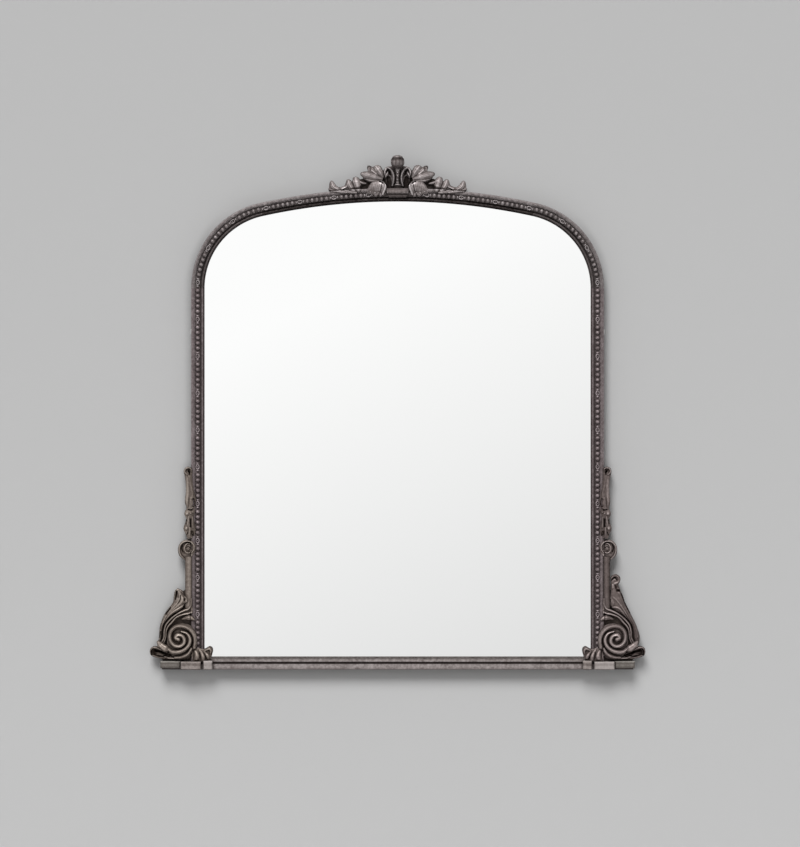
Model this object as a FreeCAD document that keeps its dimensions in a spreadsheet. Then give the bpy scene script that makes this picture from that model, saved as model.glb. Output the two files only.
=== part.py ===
import FreeCAD, Part
import math
import os

import Sketcher
from FreeCAD import Vector

# Arched overmantel mirror, in millimetres.
# X runs to the right seen from the front, the front faces -Y and +Z is up.
# The origin is the bottom centre of the whole object.
# A depth is a distance in front of the flat back of the frame.

document = FreeCAD.newDocument("overmantel_mirror")

# Driving sizes

driving_sizes = {
    # frame
    "sight_width": 910,  # clear width between the stiles
    "sight_bottom": 30,  # height of the lower sight edge
    "spring_height": 898,  # where the straight stiles end
    "crown_radius": 1488,  # sight edge of the flat crown arc
    "shoulder_radius": 174,  # sight edge of the tight shoulder arc
    # moulding section, from its outer edge inwards
    "band_width": 9.6,  # rounded outer band
    "band_edge_depth": 26.2,
    "band_rise": 3.8,
    "bed_width": 10.8,  # flat bed of the bead strips
    "bed_depth": 22,
    "channel_width": 3.2,
    "channel_depth": 18,
    "fillet_width": 4.2,
    "fillet_depth": 22,
    "fillet_rise": 1.5,
    "sight_step": 3.2,
    "sight_edge_depth": 16,
    "rebate_width": 9,
    "rebate_depth": 12,
    # base rail
    "rail_depth": 26,
    "rail_band_height": 13,
    "rail_groove": 4,
    "rail_fillet_bottom": 18,
    "rail_fillet_top": 25,
    "rail_seat_height": 20,  # seat of stiles and castings, and rebate floor
    "rail_tongue": 69,  # how far the rail runs past the stiles
    # glass and back
    "glass_thickness": 4,
    "glass_gap": 2,
    "board_thickness": 3,
    "setting_block_length": 40,
    # dowels
    "dowel_diameter": 6,
    "dowel_length": 40,
    "dowel_spacing": 10,
    "dowel_play": 0.1,
    "dowel_end_gap": 1,
    # offset clips and their screws
    "clip_width": 12,
    "clip_thickness": 1.2,
    "clip_foot": 14,
    "clip_tongue": 10,
    "clip_play": 0.3,
    "clip_strap_gap": 6,  # from the uppermost stile clips up to the hanger straps
    "screw_head_diameter": 6.5,
    "screw_head_height": 2,
    "screw_shank_diameter": 3,
    "screw_shank_length": 12,
    # hangers
    "hanger_drop": 98,  # axis of the D-rings, below the spring of the arch
    "strap_width": 14,
    "strap_length": 46,
    "strap_thickness": 1.5,
    "strap_screw_drop": 28,
    "strap_screw_spacing": 11,
    "screw_play": 0.05,
    "ring_wire": 3,
    "ring_width": 27,
    "ring_height": 22,
    "ring_play": 0.08,
    "ring_stand_off": 0.6,
    # rubber bumpers
    "bumper_diameter": 12,
    "bumper_thickness": 8,
    "bumper_chamfer": 1,
    "bumper_low_height": 60,
    "bumper_high_drop": 38,  # of the upper pair, below the spring of the arch
    # bead strips
    "strip_thickness": 2,
    "strip_play": 0.2,
    "pearl_diameter": 9.5,
    "pearl_pitch": 12.5,
    "pearls_in_group": 5,
    "link_length": 20,
    "link_width": 9.5,
    "link_space": 26.5,
    # plinth blocks, in front of the base rail
    "middle_plinth_width": 47,
    "middle_plinth_height": 19,
    "middle_plinth_depth": 19,
    "middle_plinth_overlap": 23,  # how far it reaches in front of the stile
    "inner_plinth_width": 21,
    "inner_plinth_height": 21,
    "inner_plinth_depth": 16,
    "inner_plinth_gap": 6,
    "outer_plinth_width": 47,
    "outer_plinth_height": 16.5,
    "outer_plinth_depth": 12,
    "outer_plinth_gap": 1,
    "plinth_chamfer": 2,
    # castings at the sides
    "wing_board_back": 6,
    "wing_board_thickness": 8,
    "wing_width": 92,
    "wing_height": 286,
    "casting_gap": 0.3,
    "side_reach": 95,  # tip of the foot leaf, from the side of the frame
    "ornament_reach": 52,  # depth of the most forward casting
    "volute_size": 82,
    "volute_plate_thickness": 8,
    "volute_plate_radius": 33,
    "volute_lobe_radius": 27,
    "volute_ridge_width": 8,
    "scroll_ridge_width": 9,
    "scroll_relief": 22,
    "acanthus_width": 81,
    "acanthus_height": 168,
    "acanthus_relief": 26,
    "foot_height": 44,
    "foot_relief": 30,
    "corner_leaf_width": 48,
    "corner_leaf_height": 41,
    "corner_leaf_relief": 14,
    "pilaster_bottom": 149,
    "pilaster_length": 109,
    "pilaster_width": 15.5,
    "pilaster_thickness": 16,
    "pilaster_rim": 3,
    "pilaster_sinking": 4,
    "small_scroll_height": 289,  # of its centre
    "small_scroll_across": 11,
    "small_scroll_radius": 20,
    "small_scroll_ridge_width": 6,
    "small_scroll_relief": 22,
    "drop_bottom": 312,
    "drop_length": 166,
    "drop_width": 26,
    "drop_back": 8,
    "drop_relief": 26,
    # crest
    "crest_board_half_width": 150,
    "crest_reach": 163,  # tip of the sprays, from the middle
    "crest_height": 77,  # top of the finial above the arch
    "tablet_width": 56,
    "tablet_height": 23.5,
    "tablet_thickness": 12,
    "cartouche_width": 70,
    "cartouche_height": 47,
    "cartouche_thickness": 24,
    "cartouche_hollow": 9,
    "crest_leaf_relief": 20,
    "spray_relief": 14,
    "crest_pin_diameter": 3,
    "crest_pin_length": 30,
}

sheet = document.addObject("Spreadsheet::Sheet", "sizes")
for row, (alias, number) in enumerate(driving_sizes.items(), start=1):
    sheet.set(f"A{row}", alias)
    sheet.set(f"B{row}", str(number))
    sheet.setAlias(f"B{row}", alias)
document.recompute()


class Size:
    """A length with the spreadsheet expression that gives it."""

    def __init__(self, value, text):
        self.value = float(value)
        self.text = text

    def __float__(self):
        return self.value

    def __str__(self):
        return self.text

    def __add__(self, other):
        return Size(self.value + float(other), f"({self} + {other})")

    def __radd__(self, other):
        return Size(float(other) + self.value, f"({other} + {self})")

    def __sub__(self, other):
        return Size(self.value - float(other), f"({self} - {other})")

    def __mul__(self, other):
        return Size(self.value * float(other), f"({self} * {other})")

    def __truediv__(self, other):
        return Size(self.value / float(other), f"({self} / {other})")

    def __neg__(self):
        return Size(-self.value, f"(-1 * {self})")

    def root(self):
        return Size(math.sqrt(self.value), f"sqrt({self})")


def size(alias):
    return Size(sheet.get(alias), f"sizes.{alias}")


# Derived sizes

nothing = Size(0, "0")
half_sight = size("sight_width") / 2
section_width = (size("band_width") + size("bed_width") + size("channel_width")
                 + size("fillet_width") + size("sight_step"))
half_frame = half_sight + section_width
back_y = (size("ornament_reach") - size("bumper_thickness")) / 2
band_depth = size("band_edge_depth") + size("band_rise")
rail_end = half_frame + size("rail_tongue")
wing_front = size("wing_board_back") + size("wing_board_thickness")
hanger_height = size("spring_height") - size("hanger_drop")
bumper_heights = (size("bumper_low_height"), size("spring_height") - size("bumper_high_drop"))

# The arch is a flat crown arc between two shoulder arcs that it meets in tangents.
shoulder_x = half_sight - size("shoulder_radius")
arc_distance = size("crown_radius") - size("shoulder_radius")
crown_drop = (arc_distance * arc_distance - shoulder_x * shoulder_x).root()
crown_z = size("spring_height") - crown_drop
crown_angle = f"asin({shoulder_x} / {arc_distance})"
crown_degrees = math.degrees(math.asin(float(shoulder_x) / float(arc_distance)))
arch_top = crown_z + size("crown_radius") + section_width


def joint_point(margin):
    """Where crown and shoulder meet, on the arch a margin outside the sight edge."""
    radius = size("crown_radius") + margin
    return shoulder_x * radius / arc_distance, crown_z + crown_drop * radius / arc_distance


def arc_radius(chord, rise):
    return (chord * chord / 4 + rise * rise) / (rise * 2)


# Helpers for bodies, sketches and features

nodes = {}


def new_body(label):
    """An empty body whose own XZ plane is the flat back of the frame."""
    body = document.addObject("PartDesign::Body", label)
    body.Label = label
    body.setExpression("Placement.Base.y", str(back_y))
    nodes[label] = body
    return body


def origin_plane(body, role):
    return next(item for item in body.Origin.OriginFeatures if item.Role == role)


def new_sketch(body, name, plane, offset=(nothing, nothing, nothing)):
    sketch = body.newObject("Sketcher::SketchObject", name)
    sketch.AttachmentSupport = [(origin_plane(body, plane), "")]
    sketch.MapMode = "FlatFace"
    for axis, length in zip("xyz", offset):
        sketch.setExpression(f"AttachmentOffset.Base.{axis}", str(length))
    return sketch


def hold_point(sketch, edge, end, point):
    """Two distances from the sketch's origin, each bound to its expression."""
    for kind, length in zip(("DistanceX", "DistanceY"), point):
        held = sketch.addConstraint(Sketcher.Constraint(kind, edge, end, float(length)))
        sketch.setExpression(f"Constraints[{held}]", str(length))


def draw_outline(sketch, corners, arcs=None):
    """A closed outline; arcs maps a corner's number to the middle and radius of the arc after it."""
    arcs = arcs or {}
    places = [Vector(float(across), float(up), 0) for across, up in corners]
    ends = []
    for number, place in enumerate(places):
        following = places[(number + 1) % len(places)]
        if number in arcs:
            middle, radius = arcs[number]
            through = Vector(float(middle[0]), float(middle[1]), 0)
            edge = sketch.addGeometry(Part.Arc(place, through, following), False)
            turned = (sketch.getPoint(edge, 1) - place).Length > (sketch.getPoint(edge, 2) - place).Length
            ends.append((edge, 2, 1) if turned else (edge, 1, 2))
            held = sketch.addConstraint(Sketcher.Constraint("Radius", edge, float(radius)))
            sketch.setExpression(f"Constraints[{held}]", str(radius))
        else:
            edge = sketch.addGeometry(Part.LineSegment(place, following), False)
            ends.append((edge, 1, 2))
    for number, (edge, first, last) in enumerate(ends):
        next_edge, next_first, _ = ends[(number + 1) % len(ends)]
        sketch.addConstraint(Sketcher.Constraint("Coincident", edge, last, next_edge, next_first))
        hold_point(sketch, edge, first, corners[number])


def draw_circle(sketch, centre, radius):
    middle = Vector(float(centre[0]), float(centre[1]), 0)
    edge = sketch.addGeometry(Part.Circle(middle, Vector(0, 0, 1), float(radius)), False)
    hold_point(sketch, edge, 3, centre)
    held = sketch.addConstraint(Sketcher.Constraint("Radius", edge, float(radius)))
    sketch.setExpression(f"Constraints[{held}]", str(radius))


def draw_rectangle(sketch, low, high):
    draw_outline(sketch, [low, (high[0], low[1]), high, (low[0], high[1])])


def add_pad(body, sketch, length, both_sides=False):
    pad = body.newObject("PartDesign::Pad", f"{sketch.Name}_pad")
    pad.Profile = sketch
    pad.setExpression("Length", str(length))
    pad.SideType = "Symmetric" if both_sides else "One side"
    return pad


def add_pocket(body, sketch, length, both_sides=False):
    """A pocket into the solid, checked against the volume before it."""
    document.recompute()
    before = body.Shape.Volume
    pocket = body.newObject("PartDesign::Pocket", f"{sketch.Name}_pocket")
    pocket.Profile = sketch
    pocket.setExpression("Length", str(length))
    pocket.SideType = "Symmetric" if both_sides else "One side"
    pocket.Reversed = not both_sides
    document.recompute()
    if not body.Shape.Volume < before:
        raise RuntimeError(f"{pocket.Name} cuts nothing")
    return pocket


def add_revolution(body, sketch, axis, angle="360 deg", both_sides=False, reverse=False):
    turned = body.newObject("PartDesign::Revolution", f"{sketch.Name}_revolution")
    turned.Profile = sketch
    turned.ReferenceAxis = (sketch, [axis])
    turned.setExpression("Angle", angle)
    turned.Midplane = both_sides
    turned.Reversed = reverse
    return turned


def add_mirror(label, source):
    """The left piece as the mirror image of the right one."""
    image = document.addObject("Part::Mirroring", label)
    image.Label = label
    image.Source = source
    image.Normal = Vector(1, 0, 0)
    nodes[label] = image
    return image


def add_shape(label, shape):
    """A piece from Part's own functions, where no body or primitive fits."""
    piece = document.addObject("Part::Feature", label)
    piece.Label = label
    piece.Shape = shape
    nodes[label] = piece
    return piece


def at(across, depth, up):
    """A point in the part's frame from its distance across, its depth and its height."""
    return Vector(float(across), float(back_y) - float(depth), float(up))


def block(low, high):
    """A box between two corners given as across, depth and height."""
    first, second = at(*low), at(*high)
    corner = Vector(min(first.x, second.x), min(first.y, second.y), min(first.z, second.z))
    extent = second - first
    return Part.makeBox(abs(extent.x), abs(extent.y), abs(extent.z), corner)


def rod(radius, start, end):
    return Part.makeCylinder(float(radius), (end - start).Length, start, end - start)


# Frame members

def moulding_section(place):
    """The moulding's section; place turns inset and depth into sketch coordinates."""
    bed_inset = size("band_width")
    channel_inset = bed_inset + size("bed_width")
    fillet_inset = channel_inset + size("channel_width")
    step_inset = fillet_inset + size("fillet_width")
    rebate_inset = section_width - size("rebate_width")
    corners = [
        (nothing, nothing), (nothing, size("band_edge_depth")),
        (bed_inset, size("band_edge_depth")), (bed_inset, size("bed_depth")),
        (channel_inset, size("bed_depth")), (channel_inset, size("channel_depth")),
        (fillet_inset, size("channel_depth")), (fillet_inset, size("fillet_depth")),
        (step_inset, size("fillet_depth")), (step_inset, size("sight_edge_depth")),
        (section_width, size("sight_edge_depth")), (section_width, size("rebate_depth")),
        (rebate_inset, size("rebate_depth")), (rebate_inset, nothing),
    ]
    band_middle = (size("band_width") / 2, band_depth)
    fillet_middle = (fillet_inset + size("fillet_width") / 2, size("fillet_depth") + size("fillet_rise"))
    arcs = {
        1: (place(*band_middle), arc_radius(size("band_width"), size("band_rise"))),
        7: (place(*fillet_middle), arc_radius(size("fillet_width"), size("fillet_rise"))),
    }
    return [place(*corner) for corner in corners], arcs


def make_stile():
    body = new_body("right_stile")
    sketch = new_sketch(body, "stile_section", "XY_Plane", (nothing, nothing, size("rail_seat_height")))
    draw_outline(sketch, *moulding_section(lambda inset, depth: (half_frame - inset, -depth)))
    add_pad(body, sketch, size("spring_height") - size("rail_seat_height"))
    return body


def make_shoulder():
    body = new_body("right_shoulder")
    sketch = new_sketch(body, "shoulder_section", "XY_Plane", (shoulder_x, nothing, size("spring_height")))
    outer = size("shoulder_radius") + section_width
    draw_outline(sketch, *moulding_section(lambda inset, depth: (outer - inset, -depth)))
    add_revolution(body, sketch, "V_Axis", f"90 deg - {crown_angle}", reverse=True)
    return body


def make_crown():
    body = new_body("crown_rail")
    sketch = new_sketch(body, "crown_section", "YZ_Plane", (nothing, crown_z, nothing))
    outer = size("crown_radius") + section_width
    draw_outline(sketch, *moulding_section(lambda inset, depth: (-depth, outer - inset)))
    add_revolution(body, sketch, "H_Axis", f"2 * {crown_angle}", both_sides=True)
    return body


def make_base_rail():
    body = new_body("base_rail")
    sketch = new_sketch(body, "rail_section", "YZ_Plane")
    groove_front = size("rail_depth") - size("rail_groove")
    draw_outline(sketch, [
        (nothing, nothing), (-size("rail_depth"), nothing),
        (-size("rail_depth"), size("rail_band_height")), (-groove_front, size("rail_band_height")),
        (-groove_front, size("rail_fillet_bottom")), (-size("rail_depth"), size("rail_fillet_bottom")),
        (-size("rail_depth"), size("rail_fillet_top")), (-size("sight_edge_depth"), size("sight_bottom")),
        (-size("rebate_depth"), size("sight_bottom")), (-size("rebate_depth"), size("rail_seat_height")),
        (nothing, size("rail_seat_height")),
    ])
    add_pad(body, sketch, rail_end * 2, both_sides=True)
    seats = new_sketch(body, "stile_seats", "XZ_Plane")
    over = size("sight_bottom") + size("rail_fillet_top")
    for side in (1, -1):
        inner, outer = sorted((half_sight * side, (rail_end + size("rail_groove")) * side), key=float)
        draw_rectangle(seats, (inner, size("rail_seat_height")), (outer, over))
    add_pocket(body, seats, size("rail_depth") * 2, both_sides=True)
    return body


def dowel_axes():
    """Start, middle and end of each dowel, at the joints of stiles, shoulders and crown."""
    half_length = size("dowel_length") / 2
    first_inset = (section_width - size("rebate_width") - size("dowel_spacing")) / 2
    depth = size("bed_depth") / 2
    crown_x, crown_up = joint_point(nothing)
    along = Vector(float(crown_drop), 0, -float(shoulder_x)) * (1 / float(arc_distance))
    outward = Vector(-along.z, 0, along.x)
    axes = []
    for inset in (first_inset, first_inset + size("dowel_spacing")):
        for height in (size("rail_seat_height"), size("spring_height")):
            middle = at(half_frame - inset, depth, height)
            axes.append((middle, Vector(0, 0, float(half_length))))
        middle = at(crown_x, depth, crown_up) + outward * float(section_width - inset)
        axes.append((middle, along * float(half_length)))
    mirrored = [(Vector(-middle.x, middle.y, middle.z), Vector(-half.x, half.y, half.z))
                for middle, half in axes]
    return axes + mirrored


def dowel_set(radius, end_gap):
    """All dowels as separate rods, or their holes."""
    rods = []
    for middle, half in dowel_axes():
        reach = half * (1 + float(end_gap) / half.Length)
        low = middle - reach
        if low.z < 0:
            low.z = float(size("rail_band_height")) - float(size("rail_seat_height"))
        rods.append(rod(radius, low, middle + reach))
    return rods


# Screws and clips

stile_clip_shares = (0.22, 0.61, 1)
rail_clip_shares = (-0.6, 0, 0.6)


def clip_places():
    """A point on the sight edge and the direction towards the glass, for each clip."""
    places = []
    strap_bottom = hanger_height - size("strap_length")
    highest = strap_bottom - size("clip_strap_gap") - size("clip_width") / 2
    for height_share in stile_clip_shares:
        height = size("sight_bottom") + (highest - size("sight_bottom")) * height_share
        for side in (1, -1):
            places.append((at(half_sight * side, nothing, height), Vector(-side, 0, 0)))
    for across_share in rail_clip_shares:
        rail_edge = size("rail_seat_height") + size("rebate_width")
        places.append((at(half_sight * across_share, nothing, rail_edge), Vector(0, 0, 1)))
        lean = math.radians(crown_degrees) * across_share
        outward = Vector(math.sin(lean), 0, math.cos(lean))
        places.append((at(nothing, nothing, crown_z) + outward * float(size("crown_radius")), -outward))
    for side in (1, -1):
        outward = Vector(side, 0, 1).normalize()
        centre = at(shoulder_x * side, nothing, size("spring_height"))
        places.append((centre + outward * float(size("shoulder_radius")), -outward))
    return places


def make_clip(place, inward):
    """An offset clip: foot on the frame's back, a step into the rebate, a tongue on the board."""
    thickness = size("clip_thickness")
    board_back = size("rebate_depth") - size("glass_thickness") - size("board_thickness")
    step = size("rebate_width") - size("clip_play")
    foot_end = size("rebate_width") + size("clip_foot")
    tongue_end = step - size("clip_tongue")
    outline = [
        (foot_end, nothing), (foot_end, -thickness), (step - thickness, -thickness),
        (step - thickness, board_back - thickness), (tongue_end, board_back - thickness),
        (tongue_end, board_back), (step, board_back), (step, nothing),
    ]
    sideways = inward.cross(Vector(0, 1, 0)) * float(size("clip_width"))
    corners = [place - inward * float(reach) - Vector(0, float(depth), 0) - sideways / 2
               for reach, depth in outline]
    return Part.Face(Part.makePolygon(corners + corners[:1])).extrude(sideways)


def make_screw(seat):
    """A pan-head screw whose head sits on the seat point and whose shank runs forward."""
    head_height = float(size("screw_head_height"))
    head = Part.makeCylinder(float(size("screw_head_diameter")) / 2, head_height, seat, Vector(0, 1, 0))
    rims = [edge for edge in head.Edges if edge.isClosed()]
    rim = max(rims, key=lambda edge: edge.CenterOfMass.y)
    shank_end = seat - Vector(0, float(size("screw_shank_length")), 0)
    shank = rod(size("screw_shank_diameter") / 2, seat, shank_end)
    return head.makeChamfer(head_height / 3, [rim]).fuse(shank)


def clip_screw_seats():
    """The middle of each clip's foot, on its back face."""
    reach = float(size("rebate_width") + size("clip_foot") / 2)
    lift = Vector(0, float(size("clip_thickness")), 0)
    return [place - inward * reach + lift for place, inward in clip_places()]


hanger_x = half_frame - (section_width - size("rebate_width")) / 2


def hanger_screw_seats():
    """The screws of the right strap, then those of the left one."""
    drops = (size("strap_screw_drop"), size("strap_screw_drop") + size("strap_screw_spacing"))
    return [at(hanger_x * side, -size("strap_thickness"), hanger_height - drop)
            for side in (1, -1) for drop in drops]


def screw_hole(seat):
    """The hole that a screw passes through, from behind its seat to just past its tip."""
    play = float(size("screw_play"))
    start = seat + Vector(0, float(size("screw_head_height")), 0)
    end = seat - Vector(0, float(size("screw_shank_length")) + play, 0)
    return rod(size("screw_shank_diameter") / 2 + play, start, end)


def crest_pins(play):
    """Two upright pins that hold the crest board on the crown rail, or their holes."""
    pins = []
    depth = (size("wing_board_back") + wing_front) / 2
    radius = size("crown_radius") + section_width
    for side in (1, -1):
        across = size("crest_board_half_width") * side / 2
        rise = crown_z + (radius * radius - across * across).root()
        half_length = size("crest_pin_length") / 2 + play
        pins.append(rod(size("crest_pin_diameter") / 2 + play,
                        at(across, depth, rise - half_length), at(across, depth, rise + half_length)))
    return pins


# Glass, board, clips and hangers

def arch_outline(sketch, margin, bottom):
    """The arched outline, a margin outside the sight edge, from the bottom height up."""
    side = half_sight + margin
    meet_x, meet_z = joint_point(margin)
    shoulder_radius = size("shoulder_radius") + margin
    crown_radius = size("crown_radius") + margin
    reach = shoulder_radius / math.sqrt(2)
    shoulder_middle = (shoulder_x + reach, size("spring_height") + reach)
    corners = [(-side, bottom), (side, bottom), (side, size("spring_height")), (meet_x, meet_z),
               (-meet_x, meet_z), (-side, size("spring_height"))]
    arcs = {
        2: (shoulder_middle, shoulder_radius),
        3: ((nothing, crown_z + crown_radius), crown_radius),
        4: ((-shoulder_middle[0], shoulder_middle[1]), shoulder_radius),
    }
    draw_outline(sketch, corners, arcs)


def make_pane(label, thickness, front):
    """A flat arched sheet in the rebate, from its front depth backwards."""
    body = new_body(label)
    sketch = new_sketch(body, f"{label}_outline", "XZ_Plane", (nothing, nothing, front - thickness))
    margin = size("rebate_width") - size("glass_gap")
    arch_outline(sketch, margin, size("rail_seat_height") + size("glass_gap"))
    add_pad(body, sketch, thickness)


def make_setting_blocks():
    blocks = []
    for side in (1, -1):
        middle = half_sight * side / 2
        half_length = size("setting_block_length") / 2
        low = (middle - half_length, size("rebate_depth") - size("glass_thickness"), size("rail_seat_height"))
        high = (middle + half_length, size("rebate_depth"), size("rail_seat_height") + size("glass_gap"))
        blocks.append(block(low, high))
    add_shape("setting_blocks", Part.makeCompound(blocks))


def make_clips():
    clips = [make_clip(place, inward).cut(screw_hole(seat))
             for (place, inward), seat in zip(clip_places(), clip_screw_seats())]
    add_shape("backing_clips", Part.makeCompound(clips))
    add_shape("clip_screws", Part.makeCompound([make_screw(seat) for seat in clip_screw_seats()]))


ring_depth = -(size("strap_thickness") + size("ring_stand_off") + size("ring_wire") / 2)


def make_hanger_strap():
    """A strap with its upper end rolled round the bar of the ring."""
    half_width = size("strap_width") / 2
    bore = size("ring_wire") / 2 + size("ring_play")
    ends = [at(hanger_x + half_width * side, ring_depth, hanger_height) for side in (1, -1)]
    plate = block((hanger_x - half_width, -size("strap_thickness"),
                   hanger_height - size("strap_length")),
                  (hanger_x + half_width, nothing, hanger_height))
    strap = plate.fuse(rod(bore + size("strap_thickness"), *ends)).cut(rod(bore, *ends))
    strap = strap.cut([screw_hole(seat) for seat in hanger_screw_seats()[:2]])
    add_mirror("left_hanger_strap", add_shape("right_hanger_strap", strap))


def make_hanger_ring():
    """A D-ring: a straight bar in the strap's roll, two short legs and a half-round bow."""
    wire = size("ring_wire") / 2
    bow = (size("ring_width") - size("ring_wire")) / 2
    leg = size("ring_height") - size("ring_wire") - bow
    corners = [at(hanger_x + bow * side, ring_depth, hanger_height) for side in (1, -1)]
    feet = [corner - Vector(0, 0, float(leg)) for corner in corners]
    middle = at(hanger_x, ring_depth, hanger_height - leg)
    arc = Part.Arc(feet[0], middle - Vector(0, 0, float(bow)), feet[1]).toShape()
    path = Part.Wire([arc])
    section = Part.Wire(Part.Circle(feet[0], Vector(0, 0, 1), float(wire)).toShape())
    ring = path.makePipeShell([section], True, True)
    for corner, foot in zip(corners, feet):
        ring = ring.fuse([rod(wire, foot, corner), Part.makeSphere(float(wire), corner)])
    ring = ring.fuse(rod(wire, corners[0], corners[1])).removeSplitter()
    add_mirror("left_hanger_ring", add_shape("right_hanger_ring", ring))


def make_bumpers():
    bumpers = []
    for side in (1, -1):
        for height in bumper_heights:
            start = at(hanger_x * side, nothing, height)
            end = at(hanger_x * side, -size("bumper_thickness"), height)
            bumper = rod(size("bumper_diameter") / 2, start, end)
            rims = [edge for edge in bumper.Edges if edge.isClosed()]
            rim = max(rims, key=lambda edge: edge.CenterOfMass.y)
            bumpers.append(bumper.makeChamfer(float(size("bumper_chamfer")), [rim]))
    add_shape("wall_bumpers", Part.makeCompound(bumpers))


# Bead strips

bead_inset = size("band_width") + size("bed_width") / 2


def bead_run(length):
    """A link and then a group of pearls, over and over, spread evenly over the length."""
    link_space = float(size("link_space"))
    pitch = float(size("pearl_pitch"))
    pearls = round(float(size("pearls_in_group")))
    period = link_space + pitch * pearls
    count = max(1, round(float(length) / period))
    stretch = float(length) / (period * count)
    run = []
    for number in range(count):
        start = period * number
        run.append(("link", (start + link_space / 2) * stretch))
        for pearl in range(pearls):
            run.append(("pearl", (start + link_space + pitch * (pearl + 0.5)) * stretch))
    return run


def make_bead(kind, place, along):
    """A pearl, or an oval link that lies along the strip, resting on the bed."""
    width = size("link_width") if kind == "link" else size("pearl_diameter")
    radius = float(width) / 2
    middle = Vector(place.x, float(back_y) - float(size("bed_depth")) - radius, place.z)
    if kind == "pearl":
        return Part.makeSphere(radius, middle)
    half = along * (float(size("link_length")) / 2 - radius)
    ends = (middle - half, middle + half)
    return rod(radius, *ends).fuse([Part.makeSphere(radius, end) for end in ends])


def strip_section(inset_place):
    """The strip's section, between two insets that the function turns into points."""
    near = size("band_width") + size("strip_play")
    far = size("band_width") + size("bed_width") - size("strip_play")
    front = size("bed_depth") + size("strip_thickness")
    corners = [inset_place(near, size("bed_depth")), inset_place(far, size("bed_depth")),
               inset_place(far, front), inset_place(near, front)]
    return Part.Face(Part.makePolygon(corners + corners[:1]))


def make_straight_strip():
    section = strip_section(lambda inset, depth: at(half_frame - inset, depth, size("sight_bottom")))
    length = size("spring_height") - size("sight_bottom")
    strip = section.extrude(Vector(0, 0, float(length)))
    beads = [make_bead(kind, at(half_frame - bead_inset, nothing, size("sight_bottom") + place),
                       Vector(0, 0, 1)) for kind, place in bead_run(length)]
    add_mirror("left_bead_strip", add_shape("right_bead_strip", strip.multiFuse(beads)))


def curved_beads(centre, radius, first, sweep):
    """Beads on an arc that starts at the first angle from +X and turns up by the sweep."""
    beads = []
    for kind, place in bead_run(float(radius) * abs(sweep)):
        angle = first + math.copysign(place / float(radius), sweep)
        outward = Vector(math.cos(angle), 0, math.sin(angle))
        beads.append((kind, centre + outward * float(radius), outward.cross(Vector(0, 1, 0))))
    return beads


def make_shoulder_strip():
    centre = at(shoulder_x, nothing, size("spring_height"))
    outer = size("shoulder_radius") + section_width
    section = strip_section(lambda inset, depth: at(shoulder_x + outer - inset, depth, size("spring_height")))
    sweep = 90 - crown_degrees
    strip = section.revolve(centre, Vector(0, -1, 0), sweep)
    beads = [make_bead(*bead) for bead in
             curved_beads(centre, outer - bead_inset, 0, math.radians(sweep))]
    strip = strip.multiFuse(beads)
    add_mirror("left_shoulder_bead_strip", add_shape("right_shoulder_bead_strip", strip))


def make_crown_strip():
    """The crown's strip runs on behind the tablet, where it has no beads."""
    centre = at(nothing, nothing, crown_z)
    outer = size("crown_radius") + section_width
    first = math.radians(90 - crown_degrees)
    start = Vector(math.cos(first), 0, math.sin(first))
    section = strip_section(lambda inset, depth: centre + start * float(outer - inset)
                            - Vector(0, float(depth), 0))
    strip = section.revolve(centre, Vector(0, -1, 0), 2 * crown_degrees)
    tablet_end = float(size("tablet_width")) / 2
    beads = []
    for side in (1, -1):
        angle = math.radians(90 - side * crown_degrees)
        run = curved_beads(centre, outer - bead_inset, angle, side * math.radians(crown_degrees))
        for kind, place, along in run:
            length = size("link_length") if kind == "link" else size("pearl_diameter")
            if abs(place.x) - float(length) / 2 > tablet_end:
                beads.append(make_bead(kind, place, along))
    add_shape("crown_bead_strip", strip.multiFuse(beads))


# Plinth blocks

def make_plinth(name, inner_x, width, bottom, height, depth):
    body = new_body(f"right_{name}_plinth")
    sketch = new_sketch(body, f"{name}_plinth_front", "XZ_Plane", (nothing, nothing, size("rail_depth")))
    draw_rectangle(sketch, (inner_x, bottom), (inner_x + width, bottom + height))
    pad = add_pad(body, sketch, depth)
    document.recompute()
    faces = pad.Shape.Faces
    front = min(range(len(faces)), key=lambda number: faces[number].CenterOfMass.y)
    chamfer = body.newObject("PartDesign::Chamfer", f"{name}_plinth_chamfer")
    chamfer.Base = (pad, [f"Face{front + 1}"])
    chamfer.setExpression("Size", str(size("plinth_chamfer")))
    add_mirror(f"left_{name}_plinth", body)


def make_plinths():
    middle_x = half_frame - size("middle_plinth_overlap")
    middle_end = middle_x + size("middle_plinth_width")
    inner_x = middle_x - size("inner_plinth_gap") - size("inner_plinth_width")
    outer_bottom = size("rail_seat_height") - size("outer_plinth_height")
    make_plinth("middle", middle_x, size("middle_plinth_width"), nothing,
                size("middle_plinth_height"), size("middle_plinth_depth"))
    make_plinth("inner", inner_x, size("inner_plinth_width"), nothing,
                size("inner_plinth_height"), size("inner_plinth_depth"))
    make_plinth("outer", middle_end + size("outer_plinth_gap"), size("outer_plinth_width"),
                outer_bottom, size("outer_plinth_height"), size("outer_plinth_depth"))


# Castings
# Each is a row of sections along a line: flat back, short sides and a rounded front.

round_width_share = 0.9
round_relief_share = 0.67


def relief_section(middle, sideways, half_width, back, relief):
    crown = min(half_width * round_width_share, relief * round_relief_share)
    edge = back + relief - crown
    corners = [middle + sideways * half_width * side - Vector(0, depth, 0)
               for side, depth in ((1, edge), (1, back), (-1, back), (-1, edge))]
    front = Part.Arc(corners[3], middle - Vector(0, back + relief, 0), corners[0])
    lines = [Part.makeLine(corners[number], corners[number + 1]) for number in range(3)]
    return Part.Wire(lines + [front.toShape()])


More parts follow.
